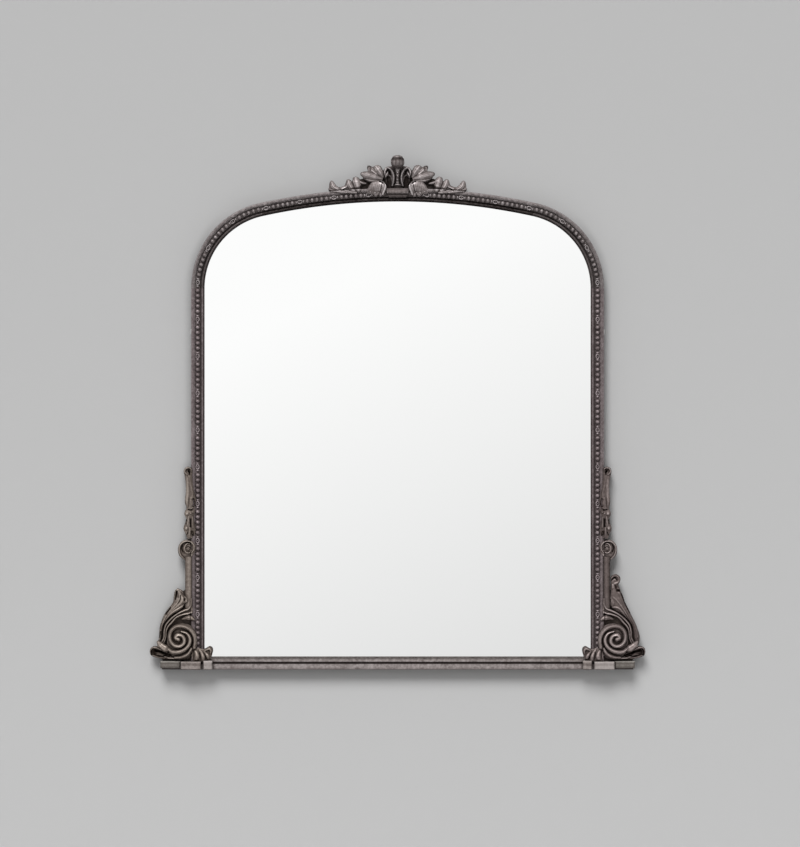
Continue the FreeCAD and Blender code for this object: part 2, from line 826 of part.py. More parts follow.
def across_line(stations):
    """At each station, its point, the direction square to the line, half width and relief share."""
    for number, (place, half_width, relief_share) in enumerate(stations):
        before = stations[max(number - 1, 0)][0]
        after = stations[min(number + 1, len(stations) - 1)][0]
        yield place, (after - before).cross(Vector(0, 1, 0)).normalize(), half_width, relief_share


def relief_loft(stations, back, relief):
    """A casting through stations of point, half width and share of the relief."""
    return Part.makeLoft([relief_section(place, sideways, half_width, float(back), float(relief) * share)
                          for place, sideways, half_width, share in across_line(stations)], True, True)


def room_loft(stations):
    """The room round a casting, square in section and right through, grown by the casting gap."""
    deep = Vector(0, float(size("wing_width")), 0)
    gap = float(size("casting_gap"))
    sections = []
    for number, (place, sideways, half_width, _) in enumerate(across_line(stations)):
        reach = sideways * (half_width + gap)
        if number in (0, len(stations) - 1):
            onward = sideways.cross(deep).normalize() * gap
            place = place + onward * (1 if number == 0 else -1)
        corners = [place + reach + deep, place + reach - deep, place - reach - deep, place - reach + deep]
        sections.append(Part.makePolygon(corners + corners[:1]))
    return Part.makeLoft(sections, True, True)


def keep_clear(casting, rooms):
    for room in rooms:
        casting = casting.cut(room)
    return casting


def side_place(across, up):
    """A point measured from the foot of the frame's right side."""
    return at(half_frame + across, nothing, size("rail_seat_height") + up)


def side_stations(shares, width, height):
    """Stations from shares of the width across, the height, the width again and the relief."""
    return [(side_place(width * across, height * up), float(width) * half, relief)
            for across, up, half, relief in shares]


def frame_room():
    """The room of the right stile and the base, which the castings keep clear of."""
    front = band_depth + size("casting_gap")
    stile = block((nothing, -size("wing_width"), nothing), (half_frame, front, size("spring_height")))
    seat = block((nothing, -size("wing_width"), -size("wing_width")),
                 (half_frame + size("wing_width") * 2, size("wing_width"), size("rail_seat_height")))
    return stile, seat


def flat_disc(across, up, radius, back, front):
    middle = side_place(across, up)
    return rod(radius, middle - Vector(0, float(back), 0), middle - Vector(0, float(front), 0))


spiral_shares = (
    (0.44, 0.67), (0.38, 0.74), (0.26, 0.71), (0.18, 0.60), (0.22, 0.49), (0.35, 0.41), (0.49, 0.45),
    (0.60, 0.56), (0.61, 0.73), (0.56, 0.88), (0.44, 0.97), (0.29, 1.00), (0.13, 0.97), (0.00, 0.85),
    (-0.08, 0.73), (-0.10, 0.56), (-0.08, 0.42),
)
arm_shares = (
    (0.29, 0.85), (0.13, 0.76), (0.03, 0.61), (0.07, 0.45), (0.19, 0.32), (0.35, 0.25), (0.52, 0.25),
    (0.66, 0.29),
)
keel_shares = ((-0.03, 0.35), (0.07, 0.23), (0.22, 0.14), (0.38, 0.11), (0.50, 0.10))
volute_relief_shares = ((spiral_shares, 1), (arm_shares, 0.85), (keel_shares, 0.7))
plate_middle_shares = (0.26, 0.67)
lobe_middle_shares = (0.35, 0.37)


def volute_stations(shares, height_share=1):
    half_width_share = float(size("volute_ridge_width")) / float(size("volute_size")) / 2
    rows = [(across, up, half_width_share, height_share) for across, up in shares]
    return side_stations(rows, size("volute_size"), size("volute_size"))


def volute_room(margin):
    """The two discs of the volute's plate, grown by a margin, right through the castings."""
    back, front = size("wing_board_back"), size("wing_width")
    discs = ((plate_middle_shares, size("volute_plate_radius")),
             (lobe_middle_shares, size("volute_lobe_radius")))
    return [flat_disc(size("volute_size") * across, size("volute_size") * up, radius + margin, back, front)
            for (across, up), radius in discs]


def make_volute():
    """A plate of two discs with a spiral ridge, a second arm and a keel on it."""
    plate_front = wing_front + size("volute_plate_thickness")
    relief = size("ornament_reach") - plate_front
    slab = block((half_frame - size("volute_size"), wing_front, nothing),
                 (half_frame + size("volute_size") * 2, plate_front, size("volute_size") * 2))
    discs = volute_room(nothing)
    volute = discs[0].fuse(discs[1]).common(slab)
    for shares, height_share in volute_relief_shares:
        volute = volute.fuse(relief_loft(volute_stations(shares, height_share), plate_front, relief))
    return keep_clear(volute, frame_room())


scroll_shares = (
    (0.01, 0.715, 1.0, 0.8), (0.16, 0.715, 1.0, 0.9), (0.35, 0.675, 1.0, 1), (0.54, 0.61, 1.0, 1),
    (0.67, 0.555, 1.0, 1), (0.745, 0.50, 1.0, 0.95), (0.785, 0.43, 0.9, 0.9), (0.80, 0.335, 0.9, 0.85),
    (0.86, 0.26, 0.7, 0.7),
)
acanthus_shares = (
    (0.985, 0.19, 0.05, 0.5), (0.90, 0.30, 0.065, 0.6), (0.845, 0.45, 0.075, 0.7), (0.75, 0.58, 0.11, 0.85),
    (0.60, 0.685, 0.17, 0.95), (0.44, 0.78, 0.22, 1), (0.345, 0.86, 0.19, 1), (0.31, 0.94, 0.12, 0.8),
    (0.32, 1.00, 0.045, 0.5),
)
foot_shares = (
    (0.52, 0.30, 0.10, 0.8), (0.66, 0.34, 0.10, 1), (0.78, 0.42, 0.11, 1), (0.88, 0.54, 0.10, 0.9),
    (0.95, 0.68, 0.075, 0.75), (1.00, 0.78, 0.04, 0.5),
)
drop_shares = (
    (0.20, 0.00, 0.10, 0.5), (0.30, 0.10, 0.36, 0.8), (0.34, 0.22, 0.42, 1), (0.24, 0.34, 0.26, 0.7),
    (0.30, 0.46, 0.40, 1), (0.26, 0.58, 0.28, 0.7), (0.24, 0.70, 0.36, 0.95), (0.20, 0.82, 0.26, 0.7),
    (0.18, 0.92, 0.26, 0.8), (0.12, 1.00, 0.12, 0.5),
)
corner_shares = (
    (0.12, 0.02, 0.14, 0.6), (0.30, 0.25, 0.18, 0.9), (0.50, 0.48, 0.21, 1), (0.72, 0.70, 0.18, 0.9),
    (0.90, 0.90, 0.10, 0.6),
)


def make_wing_board():
    """The board behind the side castings, glued to the side of the stile."""
    body = new_body("right_wing_board")
    sketch = new_sketch(body, "wing_outline", "XZ_Plane", (nothing, nothing, size("wing_board_back")))
    shares = ((0, 0), (0.72, 0), (0.87, 0.05), (0.90, 0.10), (0.80, 0.16), (0.76, 0.24), (0.66, 0.35),
              (0.44, 0.50), (0.28, 0.56), (0.14, 0.59), (0.12, 1), (0, 1))
    draw_outline(sketch, [(half_frame + size("wing_width") * across,
                           size("rail_seat_height") + size("wing_height") * up) for across, up in shares])
    add_pad(body, sketch, size("wing_board_thickness"))
    add_mirror("left_wing_board", body)


def make_pilaster():
    body = new_body("right_pilaster")
    low = (half_frame, size("pilaster_bottom"))
    high = (half_frame + size("pilaster_width"), size("pilaster_bottom") + size("pilaster_length"))
    sketch = new_sketch(body, "pilaster_front", "XZ_Plane", (nothing, nothing, wing_front))
    draw_rectangle(sketch, low, high)
    add_pad(body, sketch, size("pilaster_thickness"))
    rim = size("pilaster_rim")
    floor = wing_front + size("pilaster_thickness") - size("pilaster_sinking")
    sinking = new_sketch(body, "pilaster_sinking", "XZ_Plane", (nothing, nothing, floor))
    draw_rectangle(sinking, (low[0] + rim, low[1] + rim), (high[0] - rim, high[1] - rim))
    add_pocket(body, sinking, size("pilaster_thickness"))
    add_mirror("left_pilaster", body)


def make_small_scroll():
    """A disc with a spiral ridge that widens outwards, at the head of the pilaster."""
    start_degrees = 60
    turned_degrees = 520
    steps = 22
    narrow_share = 0.7
    radius = size("small_scroll_radius")
    up = size("small_scroll_height") - size("rail_seat_height")
    across = size("small_scroll_across")
    ridge_half = float(size("small_scroll_ridge_width")) / 2
    disc_front = wing_front + size("small_scroll_relief") / 3
    disc = flat_disc(across, up, radius, wing_front, disc_front)
    inner_reach = ridge_half * 1.5
    outer_reach = float(radius) - ridge_half
    stations = []
    for step in range(steps + 1):
        turn_share = step / steps
        angle = math.radians(start_degrees + turned_degrees * turn_share)
        offset = Vector(math.cos(angle), 0, math.sin(angle))
        offset *= inner_reach + (outer_reach - inner_reach) * turn_share
        half_width = ridge_half * (narrow_share + (1 - narrow_share) * turn_share)
        stations.append((side_place(across, up) + offset, half_width, 1))
    ridge = relief_loft(stations, disc_front, wing_front + size("small_scroll_relief") - disc_front)
    stile = frame_room()[0]
    return disc.cut(stile).fuse(ridge.cut(stile))


def make_side_castings():
    stile, seat = frame_room()
    gap = size("casting_gap")
    pilaster = block((half_frame - gap, -size("wing_width"), size("pilaster_bottom") - gap),
                     (half_frame + size("pilaster_width") + gap, size("wing_width"),
                      size("pilaster_bottom") + size("pilaster_length") + gap))
    scroll_stations = [
        (side_place(size("acanthus_width") * across, size("acanthus_height") * up),
         float(size("scroll_ridge_width")) / 2 * half, relief) for across, up, half, relief in scroll_shares]
    acanthus_stations = side_stations(acanthus_shares, size("acanthus_width"), size("acanthus_height"))
    foot_stations = side_stations(foot_shares, size("side_reach"), size("foot_height"))
    volute_rooms = volute_room(gap) + [room_loft(volute_stations(arm_shares))]

    volute = make_volute()
    scroll = keep_clear(relief_loft(scroll_stations, wing_front, size("scroll_relief")),
                        [stile, pilaster] + volute_rooms)
    acanthus = keep_clear(relief_loft(acanthus_stations, wing_front, size("acanthus_relief")),
                          [room_loft(scroll_stations), pilaster, seat] + volute_rooms)
    foot = keep_clear(relief_loft(foot_stations, wing_front, size("foot_relief")),
                      [seat, room_loft(acanthus_stations), room_loft(scroll_stations)] + volute_rooms)
    for name, casting in (("volute", volute), ("scroll", scroll), ("acanthus", acanthus),
                          ("foot_leaf", foot)):
        add_mirror(f"left_{name}", add_shape(f"right_{name}", casting))

    add_mirror("left_small_scroll", add_shape("right_small_scroll", make_small_scroll()))

    drop_base = size("drop_bottom") - size("rail_seat_height")
    drop_stations = [
        (side_place(size("drop_width") * across, drop_base + size("drop_length") * up),
         float(size("drop_width")) * half, relief) for across, up, half, relief in drop_shares]
    drop = relief_loft(drop_stations, size("drop_back"), size("drop_relief")).cut(stile)
    add_mirror("left_leaf_drop", add_shape("right_leaf_drop", drop))

    corner_stations = [
        (at(half_frame - size("corner_leaf_width") * across, nothing,
            size("middle_plinth_height") + size("corner_leaf_height") * up),
         float(size("corner_leaf_width")) * half, relief) for across, up, half, relief in corner_shares]
    below = block((nothing, nothing, -size("wing_width")),
                  (rail_end, size("wing_width"), size("middle_plinth_height")))
    back = size("bed_depth") + size("pearl_diameter") + gap
    corner = relief_loft(corner_stations, back, size("corner_leaf_relief"))
    add_mirror("left_corner_leaf", add_shape("right_corner_leaf", corner.cut(below)))


# Crest

def crest_place(across, up):
    return at(size("crest_reach") * across, nothing, arch_top + size("crest_height") * up)


def crest_stations(shares):
    return [(crest_place(across, up), float(size("crest_reach")) * half, relief)
            for across, up, half, relief in shares]


upper_leaf_shares = (
    (0.20, 0.33, 0.045, 0.8), (0.32, 0.43, 0.068, 1), (0.42, 0.49, 0.062, 1), (0.49, 0.54, 0.045, 0.8),
    (0.545, 0.58, 0.018, 0.5),
)
lower_leaf_shares = (
    (0.17, 0.10, 0.06, 0.9), (0.27, 0.05, 0.085, 1), (0.37, 0.02, 0.08, 1), (0.46, 0.03, 0.035, 0.6),
)
spray_shares = (
    (0.47, 0.14, 0.045, 0.8), (0.58, 0.20, 0.065, 1), (0.66, 0.12, 0.035, 0.8), (0.76, 0.04, 0.025, 0.7),
    (0.86, 0.07, 0.055, 1), (0.95, 0.06, 0.05, 0.9), (1.00, 0.02, 0.018, 0.5),
)


def make_crest_board():
    """The board behind the crest; its lower edge follows the arch."""
    body = new_body("crest_board")
    sketch = new_sketch(body, "crest_board_outline", "XZ_Plane", (nothing, nothing, size("wing_board_back")))
    radius = size("crown_radius") + section_width + size("strip_play")
    half_width = size("crest_board_half_width")
    side_z = crown_z + (radius * radius - half_width * half_width).root()
    shares = ((0.97, -0.03), (0.80, 0.01), (0.72, 0.15), (0.62, 0.26), (0.54, 0.30), (0.50, 0.44),
              (0.28, 0.48), (0.20, 0.58))
    right = [(half_width * across, arch_top + size("crest_height") * up) for across, up in shares]
    corners = [(half_width, side_z)] + right + [(-across, up) for across, up in reversed(right)]
    corners.append((-half_width, side_z))
    draw_outline(sketch, corners, {len(corners) - 1: ((nothing, crown_z + radius), radius)})
    add_pad(body, sketch, size("wing_board_thickness"))


def make_tablet():
    body = new_body("crest_tablet")
    sketch = new_sketch(body, "tablet_front", "XZ_Plane", (nothing, nothing, band_depth))
    half_width = size("tablet_width") / 2
    step = size("tablet_thickness") / 4
    top = arch_top
    bottom = top - size("tablet_height")
    draw_rectangle(sketch, (-half_width, bottom), (half_width, top))
    add_pad(body, sketch, size("tablet_thickness") - step)
    panel = new_sketch(body, "tablet_panel", "XZ_Plane",
                       (nothing, nothing, band_depth + size("tablet_thickness") - step))
    draw_rectangle(panel, (step - half_width, bottom + step), (half_width - step, top - step))
    add_pad(body, panel, step)


def make_cartouche():
    """A waisted shield with a hollow on each side of its middle rib."""
    body = new_body("crest_cartouche")
    bottom = arch_top + size("casting_gap")
    shares = ((0.28, 0), (0.17, 0.30), (0.20, 0.46), (0.50, 0.60), (0.50, 0.80), (0.30, 1))
    right = [(size("cartouche_width") * across, bottom + size("cartouche_height") * up)
             for across, up in shares]
    sketch = new_sketch(body, "cartouche_front", "XZ_Plane", (nothing, nothing, wing_front))
    draw_outline(sketch, right + [(-across, up) for across, up in reversed(right)])
    add_pad(body, sketch, size("cartouche_thickness"))
    hollow_across_share = 0.17
    hollow_up_share = 0.70
    hollow = size("cartouche_hollow")
    hollows = new_sketch(body, "cartouche_hollows", "XZ_Plane",
                         (nothing, nothing, wing_front + size("cartouche_thickness") - hollow))
    for side in (1, -1):
        across = size("cartouche_width") * hollow_across_share * side
        draw_circle(hollows, (across, bottom + size("cartouche_height") * hollow_up_share), hollow / 2)
    add_pocket(body, hollows, size("cartouche_thickness"))


def make_finial():
    """A turned knob, a ball cut flat below and above, standing on the cartouche."""
    radius_share = 0.555
    belly_share = 0.46
    body = new_body("crest_finial")
    bottom = arch_top + size("casting_gap") + size("cartouche_height")
    height = arch_top + size("crest_height") - bottom
    radius = height * radius_share
    middle_depth = wing_front + size("casting_gap") + radius
    sketch = new_sketch(body, "finial_profile", "XZ_Plane", (nothing, nothing, middle_depth))
    below = height * belly_share
    above = height - below
    foot = (radius * radius - below * below).root()
    cap = (radius * radius - above * above).root()
    draw_outline(sketch, [
        (nothing, bottom), (foot, bottom), (cap, bottom + height), (nothing, bottom + height),
    ], {1: ((radius, bottom + below), radius)})
    add_revolution(body, sketch, "V_Axis")


def make_crest_castings():
    gap = size("casting_gap")
    arch_room = flat_crown_room(gap)
    upper = relief_loft(crest_stations(upper_leaf_shares), wing_front, size("crest_leaf_relief"))
    lower = relief_loft(crest_stations(lower_leaf_shares), wing_front, size("crest_leaf_relief"))
    spray = relief_loft(crest_stations(spray_shares), wing_front, size("spray_relief"))
    upper_room = room_loft(crest_stations(upper_leaf_shares))
    lower_room = room_loft(crest_stations(lower_leaf_shares))
    middle_low = (nothing, nothing, arch_top - size("tablet_height") - gap)
    middle_high = (size("cartouche_width") / 2 + gap, size("wing_width"), arch_top + size("crest_height"))
    middle_room = block(middle_low, middle_high)
    upper = keep_clear(upper, [arch_room, middle_room])
    lower = keep_clear(lower, [arch_room, middle_room, upper_room])
    spray = keep_clear(spray, [arch_room, upper_room, lower_room])
    for name, casting in (("upper_leaf", upper), ("lower_leaf", lower), ("spray", spray)):
        add_mirror(f"left_crest_{name}", add_shape(f"right_crest_{name}", casting))


def flat_crown_room(gap):
    """The room of the crown rail, as a disc about the centre of its arc."""
    centre = at(nothing, nothing, crown_z)
    radius = size("crown_radius") + section_width + gap
    return rod(radius, centre, centre - Vector(0, float(band_depth + gap), 0))


# Assembly

def bored(label, blank):
    """A frame member with its screw holes and dowel holes."""
    piece = document.addObject("Part::Cut", label)
    piece.Label = label
    piece.Base = blank
    piece.Tool = bores
    nodes.pop(blank.Label)
    blank.Label = f"{label}_blank"
    nodes[label] = piece
    return piece


base_rail = make_base_rail()
right_stile = make_stile()
right_shoulder = make_shoulder()
crown_rail = make_crown()
make_crest_board()
crest_board = nodes["crest_board"]

bores = document.addObject("Part::Feature", "bores")
bores.Shape = Part.makeCompound(
    [screw_hole(seat) for seat in clip_screw_seats() + hanger_screw_seats()]
    + dowel_set(size("dowel_diameter") / 2 + size("dowel_play"), size("dowel_end_gap"))
    + crest_pins(size("dowel_play")))
bored("base_rail", base_rail)
bored("crown_rail", crown_rail)
bored("crest_board", crest_board)
add_mirror("left_stile", bored("right_stile", right_stile))
add_mirror("left_shoulder", bored("right_shoulder", right_shoulder))
add_shape("frame_dowels", Part.makeCompound(dowel_set(size("dowel_diameter") / 2, nothing)))
add_shape("crest_pins", Part.makeCompound(crest_pins(nothing)))

make_pane("mirror_glass", size("glass_thickness"), size("rebate_depth"))
make_pane("backing_board", size("board_thickness"), size("rebate_depth") - size("glass_thickness"))
make_setting_blocks()
make_clips()
make_hanger_strap()
make_hanger_ring()
add_shape("hanger_screws", Part.makeCompound([make_screw(seat) for seat in hanger_screw_seats()]))
make_bumpers()
make_straight_strip()
make_shoulder_strip()
make_crown_strip()
make_plinths()
make_wing_board()
make_pilaster()
make_side_castings()
make_tablet()
make_cartouche()
make_finial()
make_crest_castings()
document.recompute()

for item in document.Objects:
    if "Invalid" in item.State or "Error" in item.State:
        raise RuntimeError(f"{item.Label} failed: {item.State}")
for label, piece in nodes.items():
    if piece.Shape.isNull() or not piece.Shape.isValid() or not piece.Shape.Solids:
        raise RuntimeError(f"{label} has no sound solid")

os.makedirs("parts", exist_ok=True)
for label, piece in nodes.items():
    piece.Shape.exportStep(f"parts/{label}.step")
    print(label, len(piece.Shape.Solids), round(piece.Shape.Volume))
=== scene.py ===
import math

import bmesh
import bpy
import numpy as np
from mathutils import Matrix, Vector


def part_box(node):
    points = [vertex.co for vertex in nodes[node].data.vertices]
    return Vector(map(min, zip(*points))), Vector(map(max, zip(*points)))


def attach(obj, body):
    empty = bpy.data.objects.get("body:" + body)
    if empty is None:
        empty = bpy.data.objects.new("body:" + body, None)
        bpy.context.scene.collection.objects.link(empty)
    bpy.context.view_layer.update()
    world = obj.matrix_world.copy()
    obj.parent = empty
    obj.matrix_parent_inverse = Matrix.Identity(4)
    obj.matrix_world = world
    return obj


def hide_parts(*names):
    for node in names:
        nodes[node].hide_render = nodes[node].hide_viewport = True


# Arched overmantel mirror in antique silver, in metres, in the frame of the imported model.
# x runs to the right, the front faces -y and z is up. A depth is a distance in front of the
# flat back of the frame. Tables of lines are in pixels of the photograph, sizes of pieces in mm
# and the stage in metres.

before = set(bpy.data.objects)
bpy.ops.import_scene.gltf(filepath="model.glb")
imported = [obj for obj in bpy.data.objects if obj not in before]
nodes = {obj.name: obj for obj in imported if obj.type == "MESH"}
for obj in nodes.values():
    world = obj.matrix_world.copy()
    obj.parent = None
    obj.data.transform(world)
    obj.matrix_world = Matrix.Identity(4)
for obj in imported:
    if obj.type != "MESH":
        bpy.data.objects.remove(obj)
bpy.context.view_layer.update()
print("frame loaded:", len(nodes), "nodes")

mm = 0.001
photo = {
    "pixel": 2.354 * mm,  # size of a pixel at the mirror
    "width": 800,
    "height": 847,
    "middle": 397.6,  # column of the frame's centre line
    "crestMiddle": 400.8,  # column of the crest's centre line
    "foot": 669.5,  # row of the underside
}
sides = (("left", -1), ("right", 1))

stileLow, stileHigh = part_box("right_stile")
frameBack = stileHigh.y
halfFrame = stileHigh.x
springHeight = stileHigh.z
sectionWidth = halfFrame - stileLow.x
arch = {"crownRadius": 1488 * mm, "shoulderRadius": 174 * mm}
shoulderX = stileLow.x - arch["shoulderRadius"]
arcDistance = arch["crownRadius"] - arch["shoulderRadius"]
crownZ = springHeight - math.sqrt(arcDistance ** 2 - shoulderX ** 2)
crownTurn = math.asin(shoulderX / arcDistance)
sightBottom = 30 * mm


# Lines and surfaces

def smoothLine(points, count):
    # a cubic through the given points, its slopes taken from their neighbours, evenly spread
    points = np.asarray(points, float)
    steps = np.hypot(np.diff(points[:, 0]), np.diff(points[:, 1]))
    chord = np.concatenate([[0], np.cumsum(steps)])
    slope = np.gradient(points, chord, axis=0)
    fine = np.linspace(0, chord[-1], count)
    index = np.clip(np.searchsorted(chord, fine, side="right") - 1, 0, len(points) - 2)
    span = (chord[index + 1] - chord[index])[:, None]
    t = (fine - chord[index])[:, None] / span
    start = (1 + 2 * t) * (1 - t) ** 2 * points[index] + t * (1 - t) ** 2 * span * slope[index]
    end = t * t * (3 - 2 * t) * points[index + 1] - t * t * (1 - t) * span * slope[index + 1]
    return start + end


def fromPhoto(points, middle):
    # photo pixels to metres across and up
    points = np.asarray(points, float)
    return np.stack([(points[:, 0] - middle) * photo["pixel"],
                     (photo["foot"] - points[:, 1]) * photo["pixel"]], 1)


def spread(values, shares):
    # values given at even stations, or one for all, read at other shares of the way
    values = np.atleast_1d(values)
    return np.interp(shares, np.linspace(0, 1, len(values)), values)


def localMean(values, reach):
    # the mean over a square of grid cells, by running sums along both directions
    for axis in (0, 1):
        pad = [(0, 0), (0, 0)]
        pad[axis] = (reach + 1, reach)
        padded = np.pad(values, pad, mode="edge")
        total = np.cumsum(padded, axis=axis)
        size = values.shape[axis]
        width = 2 * reach + 1
        values = (np.take(total, range(width, width + size), axis)
                  - np.take(total, range(size), axis)) / width
    return values


def reliefShare(depth, reach, scale):
    # 1 on what stands out from its surroundings, 0 in hollows, half on the level
    return 0.5 + 0.5 * np.tanh((depth - localMean(depth, reach)) / scale)


def gridFaces(rows, columns, shut):
    # quads between neighbouring rows and columns, round to the first column if shut
    row = np.arange(rows - 1)[:, None]
    column = np.arange(columns if shut else columns - 1)[None, :]
    after = (column + 1) % columns
    corners = [row * columns + column, row * columns + after,
               (row + 1) * columns + after, (row + 1) * columns + column]
    return np.stack(corners, -1).reshape(-1, 4)


def endCaps(rows, columns, before=0):
    # the first and the last of a run of rings, to be filled, with so many points before the run
    last = before + (rows - 1) * columns
    return [range(before, before + columns), range(last, last + columns)]


def stackShapes(shapes):
    # several shapes as one table of points and one of faces
    points, faces, count = [], [], 0
    for shape, quads in shapes:
        points.append(shape.reshape(-1, 3))
        faces.append(quads + count)
        count += points[-1].shape[0]
    return np.vstack(points), np.vstack(faces)


def makeMesh(name, points, faces, relief, caps, sharpDegrees, merge=0.001 * mm):
    # one mesh from a table of points and quads, its doubles merged and its faces turned outwards
    mesh = bpy.data.meshes.new(name)
    flat = points.reshape(-1, 3)
    mesh.from_pydata(flat.tolist(), [], faces.tolist() + [list(cap) for cap in caps])
    attribute = mesh.attributes.new("relief", "FLOAT", "POINT")
    attribute.data.foreach_set("value", np.clip(relief, 0, 1).astype(np.float32).ravel())
    work = bmesh.new()
    work.from_mesh(mesh)
    bmesh.ops.remove_doubles(work, verts=work.verts, dist=merge)
    bmesh.ops.dissolve_degenerate(work, edges=work.edges, dist=merge)
    bmesh.ops.recalc_face_normals(work, faces=work.faces)
    work.to_mesh(mesh)
    work.free()
    mesh.shade_smooth()
    mesh.set_sharp_from_angle(angle=math.radians(sharpDegrees))
    piece = bpy.data.objects.new(name, mesh)
    bpy.context.scene.collection.objects.link(piece)
    return piece


def dress(piece, material):
    piece.data.materials.clear()
    piece.data.materials.append(material)


def settle(piece, material, replaced):
    # a fixed piece: its material, its place under the frame's body and the node it stands for, which is
    # hidden
    dress(piece, material)
    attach(piece, "frame")
    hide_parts(replaced)


# Materials

def addNode(tree, kind, values=None, **settings):
    # a node with its settings, each input linked to another node or set to a constant
    node = tree.nodes.new(kind)
    for name, value in settings.items():
        setattr(node, name, value)
    for socket, value in (values or {}).items():
        if isinstance(value, bpy.types.NodeSocket):
            tree.links.new(value, node.inputs[socket])
        else:
            node.inputs[socket].default_value = value
    return node


def mixColors(tree, share, first, second):
    return addNode(tree, "ShaderNodeMix", {0: share, 6: first, 7: second}, data_type="RGBA").outputs[2]


def doMath(tree, operation, first, second=0.0, clamp=False):
    node = addNode(tree, "ShaderNodeMath", {0: first, 1: second}, operation=operation, use_clamp=clamp)
    return node.outputs[0]


def remap(tree, value, fromLow, fromHigh, toLow=0.0, toHigh=1.0):
    ends = {"From Min": fromLow, "From Max": fromHigh, "To Min": toLow, "To Max": toHigh}
    return addNode(tree, "ShaderNodeMapRange", {"Value": value, **ends}).outputs["Result"]


def objectPlace(tree):
    return addNode(tree, "ShaderNodeTexCoord").outputs["Object"]


def stretched(tree, place, scale):
    return addNode(tree, "ShaderNodeMapping", {"Vector": place, "Scale": scale}).outputs["Vector"]


def addNoise(tree, place, scale, detail=2.0, distortion=0.0):
    values = {"Vector": place, "Scale": scale, "Detail": detail, "Distortion": distortion}
    return addNode(tree, "ShaderNodeTexNoise", values).outputs["Fac"]


def newMaterial(name, color=(0.8, 0.8, 0.8, 1), roughness=0.5, metallic=0.0):
    material = bpy.data.materials.new(name)
    material.use_nodes = True
    shader = material.node_tree.nodes["Principled BSDF"]
    for socket, value in (("Base Color", color), ("Roughness", roughness), ("Metallic", metallic)):
        shader.inputs[socket].default_value = value
    return material, material.node_tree, shader


def roughen(tree, shader, height, strength, distance):
    # the fine unevenness of a surface
    values = {"Height": height, "Strength": strength, "Distance": distance}
    bump = addNode(tree, "ShaderNodeBump", values)
    tree.links.new(bump.outputs["Normal"], shader.inputs["Normal"])


silver = {
    "recess": (0.019, 0.0145, 0.0125, 1),
    "middle": (0.125, 0.106, 0.097, 1),
    "raised": (0.50, 0.462, 0.435, 1),
    "washDistance": 7 * mm, "washSamples": 8,
    "patchScale": 42, "patchDetail": 4, "patchShare": 0.26,
    "mottleScale": 170, "mottleDetail": 2, "mottleShare": 0.42,
    "speckScale": 520, "speckDetail": 3, "speckShare": 0.22,
    "slowScale": 70, "slowShare": 0.24,
    "dullRoughness": 0.62, "polish": 0.26, "speckRoughness": 0.6, "gloss": 0.5, "metallic": 0.55,
    "patchHeight": 0.5, "bumpStrength": 0.25, "bumpHeight": 0.4 * mm,
}


def makeSilverGroup():
    # Worn silver over a dark matt wash: the wash stays where the relief is low or where surfaces
    # close in, the silver shows on what stands out, and patches and specks break up both.
    group = bpy.data.node_groups.new("worn silver", "ShaderNodeTree")
    for label, kind, default in (("Relief", "NodeSocketFloat", 0.5), ("Wear", "NodeSocketFloat", 0.5),
                                 ("Wash", "NodeSocketFloat", 1.3), ("Grain", "NodeSocketFloat", 1.0),
                                 ("Recess", "NodeSocketColor", silver["recess"]),
                                 ("Middle", "NodeSocketColor", silver["middle"]),
                                 ("Raised", "NodeSocketColor", silver["raised"])):
        socket = group.interface.new_socket(label, in_out="INPUT", socket_type=kind)
        socket.default_value = default
    for label, kind in (("Color", "NodeSocketColor"), ("Roughness", "NodeSocketFloat"),
                        ("Gloss", "NodeSocketFloat"), ("Height", "NodeSocketFloat")):
        group.interface.new_socket(label, in_out="OUTPUT", socket_type=kind)
    given = addNode(group, "NodeGroupInput").outputs
    place = objectPlace(group)
    noises, shifts = {}, {}
    for label in ("patch", "mottle", "speck"):
        noises[label] = addNoise(group, place, silver[f"{label}Scale"], silver[f"{label}Detail"])
        shift = doMath(group, "SUBTRACT", noises[label], 0.5)
        shifts[label] = doMath(group, "MULTIPLY", shift, silver[f"{label}Share"])
    closeness = addNode(group, "ShaderNodeAmbientOcclusion", {"Distance": silver["washDistance"]},
                        samples=silver["washSamples"]).outputs["AO"]
    openness = doMath(group, "POWER", closeness, given["Wash"])
    uneven = doMath(group, "ADD", doMath(group, "ADD", shifts["patch"], shifts["mottle"]), shifts["speck"])
    uneven = doMath(group, "MULTIPLY", uneven, given["Grain"])
    stand = doMath(group, "ADD", given["Relief"], uneven)
    mask = doMath(group, "MULTIPLY", stand, openness, clamp=True)
    low = doMath(group, "MULTIPLY", mask, 2.0, clamp=True)
    high = doMath(group, "SUBTRACT", doMath(group, "MULTIPLY", mask, 2.0), 1.0, clamp=True)
    bright = doMath(group, "MULTIPLY", high, doMath(group, "ADD", given["Wear"], 0.5), clamp=True)
    tone = mixColors(group, low, given["Recess"], given["Middle"])
    polish = doMath(group, "MULTIPLY", high, silver["polish"])
    dull = doMath(group, "SUBTRACT", silver["dullRoughness"], polish)
    rough = doMath(group, "MULTIPLY", shifts["speck"], silver["speckRoughness"])
    patchHeight = doMath(group, "MULTIPLY", noises["patch"], silver["patchHeight"])
    results = {
        "Color": mixColors(group, bright, tone, given["Raised"]),
        "Roughness": doMath(group, "ADD", dull, rough, clamp=True),
        "Gloss": doMath(group, "MULTIPLY", low, silver["gloss"]),
        "Height": doMath(group, "ADD", noises["speck"], patchHeight),
    }
    addNode(group, "NodeGroupOutput", results)
    return group


silverGroup = makeSilverGroup()


def attributeRelief(tree):
    return addNode(tree, "ShaderNodeAttribute", attribute_name="relief").outputs["Fac"]


